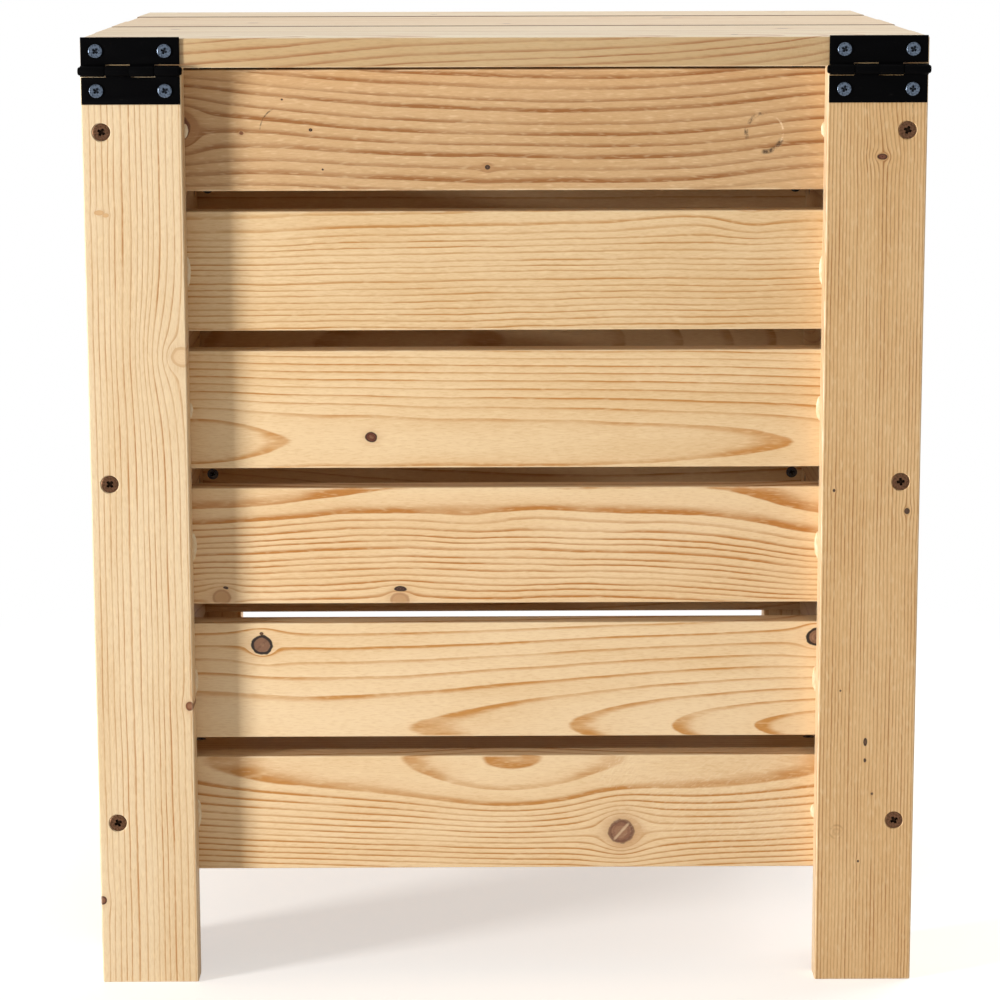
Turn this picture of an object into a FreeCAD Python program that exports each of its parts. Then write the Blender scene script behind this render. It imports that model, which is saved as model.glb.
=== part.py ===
"""Slatted wooden storage box with a hinged plank lid.

Frame: millimetres, +Z up, origin on the ground under the middle of the overall box.
The hinge side faces -Y, the opening side +Y, and +X is to the right when facing the hinge side.
Every board is drawn lying flat in its own frame (length along X, width along Y, good face up at +Z)
and is then stood in its place. Places and sizes come from the two sheets.
"""
import FreeCAD, Part
import os
import Sketcher

SLATS_PER_WALL = 6
LID_PLANKS = 5
FLOOR_BOARDS = 4
KNUCKLES_PER_LEAF = 2

# Driving dimensions, in millimetres.
SIZES = {
    "box_width": 430.0,
    "box_depth": 340.0,
    "foot_height": 58.0,
    "leg_width": 51.0,
    "leg_thick": 15.0,
    "side_leg_width": 51.0,
    "slat_height": 62.0,
    "slat_thick": 15.0,
    "slat_gap": 10.5,
    "slat_drop": 2.5,
    "slat_end_gap": 0.5,
    "lid_thick": 15.0,
    "plank_seam": 0.6,
    "batten_width": 45.0,
    "batten_thick": 15.0,
    "batten_end_gap": 12.0,
    "batten_side_gap": 40.0,
    "floor_thick": 15.0,
    "floor_gap": 10.0,
    "floor_edge_gap": 1.0,
    "cleat_width": 20.0,
    "cleat_height": 20.0,
    "arris": 0.8,
    "hinge_end_inset": 0.5,
    "leaf_width": 17.0,
    "leaf_thick": 1.2,
    "leaf_notch_gap": 0.5,
    "knuckle_dia": 5.6,
    "knuckle_standoff": 0.3,
    "knuckle_gap": 0.2,
    "pin_dia": 3.0,
    "pin_clearance": 0.05,
    "pin_head_dia": 4.2,
    "pin_head_height": 1.2,
    "pin_end_gap": 0.1,
    "hinge_hole_rise": 10.0,
    "hinge_hole_end": 7.6,
    "fine_screw_dia": 3.5,
    "fine_head_dia": 7.0,
    "corner_screw_dia": 4.5,
    "corner_head_dia": 9.0,
    "screw_bite": 10.0,
    "hinge_bite": 11.0,
    "corner_bite": 25.0,
    "head_rim": 0.3,
    "head_sink": 0.2,
    "screw_clearance": 0.05,
    "tip_room": 1.0,
    "recess_span": 4.2,
    "recess_slot": 1.1,
    "recess_depth": 1.2,
    "corner_screw_bias": 2.5,
    "corner_screw_top": 33.0,
    "corner_screw_bottom": 88.0,
    "slat_screw_edge": 15.0,
    "slat_screw_inset": 15.0,
    "floor_screw_inset": 15.0,
    "batten_screw_spread": 11.0,
}

# Places and lengths that follow from the driving dimensions.
LAYOUT = {
    "knuckle_radius": "Sizes.knuckle_dia / 2",
    "pin_offset": "knuckle_radius + Sizes.knuckle_standoff",
    "hinge_reach": "Sizes.knuckle_dia + Sizes.knuckle_standoff",
    "rear_face": "(hinge_reach - Sizes.box_depth) / 2",
    "front_face": "(hinge_reach + Sizes.box_depth) / 2",
    "middle": "hinge_reach / 2",
    "slat_pitch": "Sizes.slat_height + Sizes.slat_gap",
    "low_slat": "Sizes.foot_height",
    "top_slat": "low_slat + %d * slat_pitch" % (SLATS_PER_WALL - 1),
    "leg_height": "top_slat + Sizes.slat_height + Sizes.slat_drop",
    "inner_face": "Sizes.leg_thick + Sizes.slat_thick",
    "cross_slat_length": "Sizes.box_width - 2 * Sizes.leg_thick - 2 * Sizes.slat_end_gap",
    "side_slat_length": "Sizes.box_depth - 2 * inner_face - 2 * Sizes.slat_end_gap",
    "leg_along": "(Sizes.box_width - Sizes.leg_width) / 2",
    "side_leg_along": "(Sizes.box_depth - Sizes.side_leg_width) / 2 - Sizes.leg_thick",
    "cross_screw_along": "Sizes.box_width / 2 - Sizes.leg_width + Sizes.slat_screw_edge",
    "side_screw_along":
        "Sizes.box_depth / 2 - Sizes.leg_thick - Sizes.side_leg_width + Sizes.slat_screw_edge",
    "corner_screw_edge": "Sizes.leg_thick / 2 + Sizes.corner_screw_bias",
    "corner_screw_along": "Sizes.box_width / 2 - corner_screw_edge",
    "corner_screw_high": "leg_height - Sizes.corner_screw_top",
    "corner_screw_mid": "(corner_screw_high + Sizes.corner_screw_bottom) / 2",
    "plank_width": "(Sizes.box_depth - %d * Sizes.plank_seam) / %d" % (LID_PLANKS - 1, LID_PLANKS),
    "plank_pitch": "plank_width + Sizes.plank_seam",
    "batten_start": "inner_face + Sizes.batten_end_gap",
    "batten_length": "Sizes.box_depth - 2 * batten_start",
    "batten_along": "Sizes.box_width / 2 - inner_face - Sizes.batten_side_gap - Sizes.batten_width / 2",
    "batten_level": "leg_height - Sizes.batten_thick",
    "end_plank_row": "(batten_start + plank_width) / 2",
    "floor_length": "Sizes.box_width - 2 * inner_face - 2 * Sizes.floor_edge_gap",
    "cleat_length": "Sizes.box_depth - 2 * inner_face - 2 * Sizes.floor_edge_gap",
    "floor_board_width":
        "(cleat_length - %d * Sizes.floor_gap) / %d" % (FLOOR_BOARDS - 1, FLOOR_BOARDS),
    "floor_pitch": "floor_board_width + Sizes.floor_gap",
    "floor_level": "low_slat + Sizes.cleat_height",
    "floor_screw_along": "Sizes.box_width / 2 - inner_face - Sizes.cleat_width / 2",
    "hinge_length": "Sizes.leg_width - 2 * Sizes.hinge_end_inset",
    "hinge_end": "hinge_length / 2",
    "pin_level": "leg_height + Sizes.lid_thick - Sizes.leaf_width",
    "hinge_hole_along": "hinge_end - Sizes.hinge_hole_end",
    "knuckle_pitch": "hinge_length / %d" % (2 * KNUCKLES_PER_LEAF),
    "knuckle_length": "knuckle_pitch - Sizes.knuckle_gap",
    "fine_hole": "Sizes.fine_screw_dia + 2 * Sizes.screw_clearance",
    "fine_sink": "Sizes.fine_head_dia + 2 * (Sizes.head_sink + Sizes.head_rim + Sizes.screw_clearance)",
    "corner_hole": "Sizes.corner_screw_dia + 2 * Sizes.screw_clearance",
    "corner_sink":
        "Sizes.corner_head_dia + 2 * (Sizes.head_sink + Sizes.head_rim + Sizes.screw_clearance)",
    "leaf_sink": "Sizes.fine_screw_dia + 2 * (Sizes.leaf_thick + Sizes.screw_clearance)",
    "fine_head_height": "(Sizes.fine_head_dia - Sizes.fine_screw_dia) / 2 + Sizes.head_rim",
    "slat_screw_length": "Sizes.slat_thick + Sizes.screw_bite - Sizes.head_sink",
    "batten_screw_length": "Sizes.batten_thick + Sizes.screw_bite - Sizes.head_sink",
    "floor_screw_length": "Sizes.floor_thick + Sizes.screw_bite - Sizes.head_sink",
    "cleat_screw_length": "Sizes.cleat_width + Sizes.screw_bite - Sizes.head_sink",
    "corner_screw_length": "Sizes.leg_thick + Sizes.corner_bite - Sizes.head_sink",
    "hinge_screw_length": "fine_head_height + Sizes.hinge_bite",
    "face_pilot": "Sizes.screw_bite + Sizes.tip_room",
    "edge_pilot": "Sizes.corner_bite + Sizes.tip_room",
    "hinge_pilot": "Sizes.hinge_bite + Sizes.tip_room",
}

UP = FreeCAD.Vector(0, 0, 1)
ACROSS = FreeCAD.Vector(1, 0, 0)
INWARDS = FreeCAD.Vector(0, 1, 0)

doc = FreeCAD.newDocument("SlattedStorageBox")
sub_parts = []


def fill_sheet(name, values):
    """Write one row per value: its word in column A, the value in column B under that alias."""
    sheet = doc.addObject("Spreadsheet::Sheet", name)
    for row, (alias, value) in enumerate(values.items(), start=1):
        sheet.set("A%d" % row, alias)
        sheet.setAlias("B%d" % row, alias)
        sheet.set("B%d" % row, value if isinstance(value, str) else str(value))
    doc.recompute()
    return sheet


def origin_plane(body, role):
    """Return one of a body's own origin planes."""
    return next(plane for plane in body.Origin.OriginFeatures if plane.Role == role)


def new_sketch(body, name, role="XY_Plane", offset=None):
    """Attach an empty sketch to an origin plane of its body, moved along the normal by offset."""
    sketch = body.newObject("Sketcher::SketchObject", name)
    sketch.AttachmentSupport = [(origin_plane(body, role), "")]
    sketch.MapMode = "FlatFace"
    if offset:
        sketch.setExpression("AttachmentOffset.Base.z", offset)
        doc.recompute()
    return sketch


def bind(sketch, constraint, expression):
    """Add a constraint to a sketch and tie its value to the sheets."""
    index = sketch.addConstraint(constraint)
    sketch.setExpression("Constraints[%d]" % index, expression)


def value_of(expression):
    """Work out an expression of the sheets now, as a plain number of millimetres."""
    result = layout.evalExpression(expression)
    return float(getattr(result, "Value", result))


def outline(sketch, corners):
    """Draw a closed outline through corners, each an (x, y) pair of expressions."""
    points = [FreeCAD.Vector(value_of(x), value_of(y), 0) for x, y in corners]
    count = len(points)
    for start, end in zip(points, points[1:] + points[:1]):
        sketch.addGeometry(Part.LineSegment(start, end), False)
    for side in range(count):
        sketch.addConstraint(Sketcher.Constraint("Coincident", side, 2, (side + 1) % count, 1))
    for side, (x, y) in enumerate(corners):
        bind(sketch, Sketcher.Constraint("DistanceX", -1, 1, side, 1, points[side].x), x)
        bind(sketch, Sketcher.Constraint("DistanceY", -1, 1, side, 1, points[side].y), y)


def rings(sketch, places, diameter):
    """Draw circles of one diameter at places, each an (x, y) pair of expressions."""
    for x, y in places:
        centre = FreeCAD.Vector(value_of(x), value_of(y), 0)
        ring = sketch.addGeometry(Part.Circle(centre, UP, value_of(diameter) / 2), False)
        bind(sketch, Sketcher.Constraint("DistanceX", -1, 1, ring, 3, centre.x), x)
        bind(sketch, Sketcher.Constraint("DistanceY", -1, 1, ring, 3, centre.y), y)
        bind(sketch, Sketcher.Constraint("Diameter", ring, value_of(diameter)), diameter)


def pad(body, name, sketch, length, reverse=False):
    """Add the prism of a sketch to its body."""
    feature = body.newObject("PartDesign::Pad", name)
    feature.Profile = sketch
    feature.setExpression("Length", length)
    feature.Reversed = reverse
    doc.recompute()
    return feature


def checked_cut(body, feature, before):
    """Make sure that a cutting feature really removed material from its body."""
    doc.recompute()
    if not before - body.Shape.Volume > 0:
        raise RuntimeError("%s of %s cuts nothing" % (feature.Name, body.Label))
    return feature


def drill(body, name, places, diameter, depth, role="XY_Plane", offset=None, reverse=False):
    """Drill blind round holes of one depth at places on a plane of the body."""
    before = body.Shape.Volume
    sketch = new_sketch(body, name + "_marks", role, offset)
    rings(sketch, places, diameter)
    pocket = body.newObject("PartDesign::Pocket", name)
    pocket.Profile = sketch
    pocket.setExpression("Length", depth)
    pocket.Reversed = reverse
    return checked_cut(body, pocket, before)


def countersink(body, name, places, diameter, sink, role="XY_Plane", offset=None, reverse=False):
    """Drill through holes with a right-angled countersink at places on a plane of the body."""
    before = body.Shape.Volume
    sketch = new_sketch(body, name + "_marks", role, offset)
    rings(sketch, places, diameter)
    hole = body.newObject("PartDesign::Hole", name)
    hole.Profile = sketch
    doc.recompute()
    hole.ThreadType = "None"
    hole.DepthType = "ThroughAll"
    hole.DrillPoint = "Flat"
    hole.HoleCutType = "Countersink"
    hole.HoleCutCustomValues = True
    hole.HoleCutCountersinkAngle = 90
    hole.Reversed = reverse
    hole.setExpression("Diameter", diameter)
    hole.setExpression("HoleCutDiameter", sink)
    return checked_cut(body, hole, before)


def place(thing, rotation, x="0", y="0", z="0"):
    """Turn a sub-part and tie its position to the sheets."""
    thing.Placement = FreeCAD.Placement(FreeCAD.Vector(), rotation)
    for axis, expression in zip("xyz", (x, y, z)):
        thing.setExpression("Placement.Base." + axis, expression)


def new_board(label, length, width, thick):
    """Saw a board with eased arrises, lying flat: centred along X, width from Y=0, good face up."""
    body = doc.addObject("PartDesign::Body", label)
    body.Label = label
    sketch = new_sketch(body, label + "_outline")
    half = "(%s) / 2" % length
    outline(sketch, [("-" + half, "0"), (half, "0"), (half, width), ("-" + half, width)])
    blank = pad(body, label + "_blank", sketch, thick)
    eased = body.newObject("PartDesign::Fillet", label + "_arrises")
    eased.Base = (blank, ["Face1"])
    eased.UseAllEdges = True
    eased.setExpression("Radius", "Sizes.arris")
    doc.recompute()
    sub_parts.append(body)
    return body


class Wall:
    """One side of the box: its own X runs along the wall, and inwards is measured from the leg faces."""

    def __init__(self, name, turn, x, y, slat_length, screw_along):
        self.name = name
        self.turn = FreeCAD.Rotation(UP, turn)
        self.x = x
        self.y = y
        self.slat_length = slat_length
        self.screw_along = screw_along

    def put(self, thing, lean, along="0", inwards="0", level="0"):
        """Stand a sub-part against this wall, leaned by a turn about the wall's own X axis."""
        rotation = self.turn * FreeCAD.Rotation(ACROSS, lean)
        place(thing, rotation, self.x.format(along=along, inwards=inwards),
              self.y.format(along=along, inwards=inwards), level)


WALLS = {
    "rear": Wall("rear", 0, "{along}", "Layout.rear_face + ({inwards})",
                 "Layout.cross_slat_length", "Layout.cross_screw_along"),
    "front": Wall("front", 180, "-({along})", "Layout.front_face - ({inwards})",
                  "Layout.cross_slat_length", "Layout.cross_screw_along"),
    "left": Wall("left", -90, "({inwards}) - Sizes.box_width / 2", "Layout.middle - ({along})",
                 "Layout.side_slat_length", "Layout.side_screw_along"),
    "right": Wall("right", 90, "Sizes.box_width / 2 - ({inwards})", "Layout.middle + ({along})",
                  "Layout.side_slat_length", "Layout.side_screw_along"),
}

STANDING = 90
FACING_IN = -90
FACING_OUT = 90
BOTH_ENDS = ("-", "")


def slat_bottom(course):
    """Level of a slat's lower edge, counted from the top course."""
    return "Layout.top_slat - %d * Layout.slat_pitch" % course


def slat_screw_rows():
    """Heights of the two screws at a slat's end, above its lower edge."""
    return ["Sizes.slat_screw_inset", "Sizes.slat_height - Sizes.slat_screw_inset"]


def slat_screw_levels():
    """Heights of all the slat screws in one leg board."""
    return ["%s + %s" % (slat_bottom(course), row)
            for course in range(SLATS_PER_WALL) for row in slat_screw_rows()]


def corner_screw_levels():
    """Heights of the three screws that hold a leg board to the side leg behind it."""
    return ["Layout.corner_screw_high", "Layout.corner_screw_mid", "Sizes.corner_screw_bottom"]


def make_slats():
    """Six slats for each wall, drilled from inside; the lowest side slats also take the cleat screws."""
    for wall in WALLS.values():
        for course in range(SLATS_PER_WALL):
            label = "slat_%s_%d" % (wall.name, course + 1)
            slat = new_board(label, wall.slat_length, "Sizes.slat_height", "Sizes.slat_thick")
            ends = [(sign + wall.screw_along, row) for sign in BOTH_ENDS for row in slat_screw_rows()]
            countersink(slat, label + "_holes", ends, "Layout.fine_hole", "Layout.fine_sink",
                        reverse=True)
            lowest = course == SLATS_PER_WALL - 1
            if lowest and wall.name in ("left", "right"):
                marks = [(along, "Sizes.cleat_height / 2") for along in cleat_screw_places()]
                drill(slat, label + "_cleat_pilots", marks, "Layout.fine_hole", "Layout.face_pilot",
                      reverse=True)
            wall.put(slat, STANDING, inwards="Layout.inner_face", level=slat_bottom(course))


def make_legs():
    """Front and rear leg boards with their corner screws, and the side leg boards behind them."""
    for name in ("rear", "front"):
        wall = WALLS[name]
        for hand, sign in (("left", "-"), ("right", "")):
            wall_sign = sign if name == "rear" else ("" if sign else "-")
            label = "leg_%s_%s" % (name, hand)
            leg = new_board(label, "Sizes.leg_width", "Layout.leg_height", "Sizes.leg_thick")
            outer = "%s(Sizes.leg_width / 2 - Layout.corner_screw_edge)" % wall_sign
            inner = "%s(Sizes.slat_screw_edge - Sizes.leg_width / 2)" % wall_sign
            countersink(leg, label + "_corner_holes", [(outer, level) for level in corner_screw_levels()],
                        "Layout.corner_hole", "Layout.corner_sink", offset="Sizes.leg_thick")
            drill(leg, label + "_slat_pilots", [(inner, level) for level in slat_screw_levels()],
                  "Layout.fine_hole", "Layout.face_pilot", reverse=True)
            if name == "rear":
                level = "Layout.pin_level - Sizes.hinge_hole_rise"
                marks = [(side + "Layout.hinge_hole_along", level) for side in BOTH_ENDS]
                drill(leg, label + "_hinge_pilots", marks, "Layout.fine_hole", "Layout.hinge_pilot",
                      offset="Sizes.leg_thick")
            wall.put(leg, STANDING, along=wall_sign + "Layout.leg_along", inwards="Sizes.leg_thick")
    for hand in ("left", "right"):
        wall = WALLS[hand]
        for name in ("rear", "front"):
            towards_plus = (hand == "left") == (name == "rear")
            sign = "" if towards_plus else "-"
            label = "leg_side_%s_%s" % (name, hand)
            leg = new_board(label, "Sizes.side_leg_width", "Layout.leg_height", "Sizes.leg_thick")
            marks = [(level, "Sizes.leg_thick - Layout.corner_screw_edge") for level in corner_screw_levels()]
            drill(leg, label + "_corner_pilots", marks, "Layout.corner_hole", "Layout.edge_pilot",
                  role="YZ_Plane", offset=sign + "Sizes.side_leg_width / 2", reverse=not towards_plus)
            inner = "%s(Sizes.slat_screw_edge - Sizes.side_leg_width / 2)" % sign
            drill(leg, label + "_slat_pilots", [(inner, level) for level in slat_screw_levels()],
                  "Layout.fine_hole", "Layout.face_pilot", reverse=True)
            wall.put(leg, STANDING, along=sign + "Layout.side_leg_along", inwards="Sizes.leg_thick")


def plank_screw_row(plank):
    """Place of a plank's batten screws across its width: in the middle of what the battens cover."""
    if plank == 0:
        return "Layout.end_plank_row"
    if plank == LID_PLANKS - 1:
        return "Layout.plank_width - Layout.end_plank_row"
    return "Layout.plank_width / 2"


def batten_screw_shifts():
    """Offsets of a plank's two screws from the batten's centre line."""
    return [" - Sizes.batten_screw_spread", " + Sizes.batten_screw_spread"]


def batten_screw_place(plank):
    """Place of a plank's screws along the batten, from the batten's middle."""
    return "%d * Layout.plank_pitch + %s - Sizes.box_depth / 2" % (plank, plank_screw_row(plank))


def make_lid():
    """Five planks with open seams, screwed from below to two battens."""
    for plank in range(LID_PLANKS):
        label = "lid_plank_%d" % (plank + 1)
        board = new_board(label, "Sizes.box_width", "Layout.plank_width", "Sizes.lid_thick")
        marks = [(sign + "Layout.batten_along" + shift, plank_screw_row(plank))
                 for sign in BOTH_ENDS for shift in batten_screw_shifts()]
        drill(board, label + "_batten_pilots", marks, "Layout.fine_hole", "Layout.face_pilot",
              reverse=True)
        if plank == 0:
            level = "Layout.pin_level + Sizes.hinge_hole_rise - Layout.leg_height"
            marks = [("%sLayout.leg_along %s Layout.hinge_hole_along" % (sign, side), level)
                     for sign in BOTH_ENDS for side in "-+"]
            drill(board, label + "_hinge_pilots", marks, "Layout.fine_hole", "Layout.hinge_pilot",
                  role="XZ_Plane")
        place(board, FreeCAD.Rotation(), y="Layout.rear_face + %d * Layout.plank_pitch" % plank,
              z="Layout.leg_height")
    for hand, sign in (("left", "-"), ("right", "")):
        label = "lid_batten_" + hand
        batten = new_board(label, "Layout.batten_length", "Sizes.batten_width", "Sizes.batten_thick")
        marks = [(batten_screw_place(plank), "Sizes.batten_width / 2" + shift)
                 for plank in range(LID_PLANKS) for shift in batten_screw_shifts()]
        countersink(batten, label + "_holes", marks, "Layout.fine_hole", "Layout.fine_sink", reverse=True)
        place(batten, FreeCAD.Rotation(UP, 90), sign + "Layout.batten_along + Sizes.batten_width / 2",
              "Layout.middle", "Layout.batten_level")


def cleat_screw_places():
    """Places of the cleat screws along a cleat: in the gaps between the floor boards."""
    middle = (FLOOR_BOARDS - 2) / 2
    return ["%g * Layout.floor_pitch" % (gap - middle) for gap in range(FLOOR_BOARDS - 1)]


def floor_screw_rows():
    """Places of the two screws across the width of a floor board."""
    return ["Sizes.floor_screw_inset", "Layout.floor_board_width - Sizes.floor_screw_inset"]


def floor_screw_places():
    """Places of the floor screws along a cleat, from the cleat's middle."""
    return ["%d * Layout.floor_pitch - Layout.cleat_length / 2 + %s" % (board, row)
            for board in range(FLOOR_BOARDS) for row in floor_screw_rows()]


def make_floor():
    """Floor boards that span two cleats, which are screwed to the lowest side slats."""
    for number in range(FLOOR_BOARDS):
        label = "floor_board_%d" % (number + 1)
        board = new_board(label, "Layout.floor_length", "Layout.floor_board_width", "Sizes.floor_thick")
        marks = [(sign + "Layout.floor_screw_along", row) for sign in BOTH_ENDS
                 for row in floor_screw_rows()]
        countersink(board, label + "_holes", marks, "Layout.fine_hole", "Layout.fine_sink",
                    offset="Sizes.floor_thick")
        place(board, FreeCAD.Rotation(), "0",
              "Layout.middle - Layout.cleat_length / 2 + %d * Layout.floor_pitch" % number,
              "Layout.floor_level")
    for hand in ("left", "right"):
        label = "floor_cleat_" + hand
        cleat = new_board(label, "Layout.cleat_length", "Sizes.cleat_height", "Sizes.cleat_width")
        marks = [(along, "Sizes.cleat_height / 2") for along in cleat_screw_places()]
        countersink(cleat, label + "_holes", marks, "Layout.fine_hole", "Layout.fine_sink", reverse=True)
        marks = [(along, "Sizes.cleat_width / 2") for along in floor_screw_places()]
        drill(cleat, label + "_floor_pilots", marks, "Layout.fine_hole", "Layout.face_pilot",
              role="XZ_Plane", offset="-Sizes.cleat_height", reverse=True)
        WALLS[hand].put(cleat, STANDING, inwards="Layout.inner_face + Sizes.cleat_width",
                        level="Layout.low_slat")


def knuckle_start(number):
    """Place where one of a leaf's own knuckles begins along the pin, from the hinge's left end."""
    return "%d * Layout.knuckle_pitch - Layout.hinge_end" % (2 * number)


def leaf_corners():
    """Outline of a leaf seen from outside: necks down to the pin line, notches for the other leaf."""
    notch = "Layout.knuckle_radius + Sizes.leaf_notch_gap"
    corners = []
    for number in range(KNUCKLES_PER_LEAF):
        start = knuckle_start(number)
        neck_end = start + " + Layout.knuckle_length"
        next_neck = start + " + 2 * Layout.knuckle_pitch"
        corners += [(start, "0"), (neck_end, "0"), (neck_end, notch), (next_neck, notch)]
    return corners + [("Layout.hinge_end", "Sizes.leaf_width"),
                      ("-Layout.hinge_end", "Sizes.leaf_width")]


def make_leaf(label):
    """A hinge leaf about its pin line: plate with notches, two rolled knuckles and two screw holes."""
    body = doc.addObject("PartDesign::Body", label)
    body.Label = label
    sketch = new_sketch(body, label + "_outline", "XZ_Plane", "-Layout.pin_offset")
    outline(sketch, leaf_corners())
    pad(body, label + "_plate", sketch, "Sizes.leaf_thick")
    for number in range(KNUCKLES_PER_LEAF):
        name = "%s_knuckle_%d" % (label, number + 1)
        sketch = new_sketch(body, name + "_round", "YZ_Plane", knuckle_start(number))
        rings(sketch, [("0", "0")], "Sizes.knuckle_dia")
        pad(body, name, sketch, "Layout.knuckle_length")
    drill(body, label + "_bore", [("0", "0")], "Sizes.pin_dia + 2 * Sizes.pin_clearance",
          "Layout.hinge_length", "YZ_Plane", "-Layout.hinge_end", reverse=True)
    marks = [(sign + "Layout.hinge_hole_along", "Sizes.hinge_hole_rise") for sign in BOTH_ENDS]
    countersink(body, label + "_holes", marks, "Layout.fine_hole", "Layout.leaf_sink",
                "XZ_Plane", "Sizes.leaf_thick - Layout.pin_offset")
    sub_parts.append(body)
    return body


def turned(body, name, corners):
    """Add a turned solid to a body: corners are (radius, height) pairs about the body's Z axis."""
    sketch = new_sketch(body, name + "_profile", "XZ_Plane")
    outline(sketch, corners)
    feature = body.newObject("PartDesign::Revolution", name)
    feature.Profile = sketch
    feature.ReferenceAxis = (sketch, ["V_Axis"])
    feature.Angle = 360
    doc.recompute()
    return feature


def make_pin(label):
    """A hinge pin about Z, with a chamfered head at both ends just clear of the knuckles."""
    body = doc.addObject("PartDesign::Body", label)
    body.Label = label
    reach = "(Layout.hinge_end + Sizes.pin_end_gap)"
    shank = "Sizes.pin_dia / 2"
    head = "Sizes.pin_head_dia / 2"
    crown = "Sizes.pin_head_height"
    turned(body, label + "_turning", [
        ("0", "-%s - %s" % (reach, crown)), (shank, "-%s - %s" % (reach, crown)),
        (head, "-%s - %s / 2" % (reach, crown)), (head, "-%s" % reach), (shank, "-%s" % reach),
        (shank, reach), (head, reach), (head, "%s + %s / 2" % (reach, crown)),
        (shank, "%s + %s" % (reach, crown)), ("0", "%s + %s" % (reach, crown))])
    sub_parts.append(body)
    return body


def make_hinges():
    """Two butt hinges on the rear corners: alike leaves, one turned over, on a common pin."""
    for hand, sign in (("left", "-"), ("right", "")):
        spot = (sign + "Layout.leg_along", "Layout.rear_face - Layout.pin_offset", "Layout.pin_level")
        place(make_leaf("hinge_%s_lid_leaf" % hand), FreeCAD.Rotation(), *spot)
        place(make_leaf("hinge_%s_leg_leaf" % hand), FreeCAD.Rotation(INWARDS, 180), *spot)
        place(make_pin("hinge_%s_pin" % hand), FreeCAD.Rotation(INWARDS, 90), *spot)


def make_screw(label, diameter, head, length):
    """A countersunk cross-recessed screw, head at Z=0 and pointing down; only its copies are kept."""
    body = doc.addObject("PartDesign::Body", label)
    body.Label = label
    shank = "%s / 2" % diameter
    rim = "%s / 2" % head
    neck = "-Sizes.head_rim - (%s - %s) / 2" % (head, diameter)
    turned(body, label + "_turning", [
        ("0", "0"), (rim, "0"), (rim, "-Sizes.head_rim"), (shank, neck),
        (shank, "%s - %s" % (diameter, length)), ("0", "-" + length)])
    arm = "Sizes.recess_span / 2"
    slot = "Sizes.recess_slot / 2"
    before = body.Shape.Volume
    sketch = new_sketch(body, label + "_cross")
    outline(sketch, [
        (slot, slot), (slot, arm), ("-" + slot, arm), ("-" + slot, slot), ("-" + arm, slot),
        ("-" + arm, "-" + slot), ("-" + slot, "-" + slot), ("-" + slot, "-" + arm),
        (slot, "-" + arm), (slot, "-" + slot), (arm, "-" + slot), (arm, slot)])
    recess = body.newObject("PartDesign::Pocket", label + "_recess")
    recess.Profile = sketch
    recess.setExpression("Length", "Sizes.recess_depth")
    checked_cut(body, recess, before)
    return body


def fine_screw(label):
    """One of the finer screws, whose length is laid out under its own name."""
    return make_screw(label, "Sizes.fine_screw_dia", "Sizes.fine_head_dia", "Layout.%s_length" % label)


class ScrewGroup:
    """Copies of one screw that share a node."""

    def __init__(self, label, screw):
        self.label = label
        self.screw = screw
        self.copies = []

    def copy(self):
        """Add one more copy of the screw, to be put in its place."""
        link = doc.addObject("App::Link", "%s_%d" % (self.label, len(self.copies) + 1))
        link.LinkedObject = self.screw
        self.copies.append(link)
        return link

    def close(self):
        """Gather the copies into the sub-part."""
        group = doc.addObject("Part::Compound", self.label)
        group.Label = self.label
        group.Links = self.copies
        sub_parts.append(group)


def make_slat_screws(screw):
    """Two screws at each end of every slat, driven outwards into the leg boards."""
    for label, names in (("slat_screws_rear", ["rear"]), ("slat_screws_front", ["front"]),
                         ("slat_screws_sides", ["left", "right"])):
        group = ScrewGroup(label, screw)
        for wall in (WALLS[name] for name in names):
            for sign in BOTH_ENDS:
                for level in slat_screw_levels():
                    wall.put(group.copy(), FACING_IN, sign + wall.screw_along,
                             "Layout.inner_face - Sizes.head_sink", level)
        group.close()


def make_corner_screws(screw):
    """Three screws through each front and rear leg board into the edge of the side leg behind it."""
    group = ScrewGroup("corner_screws", screw)
    for wall in (WALLS["rear"], WALLS["front"]):
        for sign in BOTH_ENDS:
            for level in corner_screw_levels():
                wall.put(group.copy(), FACING_OUT, sign + "Layout.corner_screw_along",
                         "Sizes.head_sink", level)
    group.close()


def make_lid_screws(screw):
    """Screws through the battens into the lid planks, from below."""
    group = ScrewGroup("batten_screws", screw)
    for sign in BOTH_ENDS:
        for plank in range(LID_PLANKS):
            for shift in batten_screw_shifts():
                place(group.copy(), FreeCAD.Rotation(ACROSS, 180), sign + "Layout.batten_along" + shift,
                      "Layout.middle + " + batten_screw_place(plank),
                      "Layout.batten_level + Sizes.head_sink")
    group.close()


def make_floor_screws(screw):
    """Screws down through the floor boards into the cleats."""
    group = ScrewGroup("floor_screws", screw)
    for sign in BOTH_ENDS:
        for along in floor_screw_places():
            place(group.copy(), FreeCAD.Rotation(), sign + "Layout.floor_screw_along",
                  "Layout.middle + " + along, "Layout.floor_level + Sizes.floor_thick - Sizes.head_sink")
    group.close()


def make_cleat_screws(screw):
    """Screws through the cleats into the lowest side slats."""
    group = ScrewGroup("cleat_screws", screw)
    for wall in (WALLS["left"], WALLS["right"]):
        for along in cleat_screw_places():
            wall.put(group.copy(), FACING_IN, along,
                     "Layout.inner_face + Sizes.cleat_width - Sizes.head_sink",
                     "Layout.low_slat + Sizes.cleat_height / 2")
    group.close()


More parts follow.
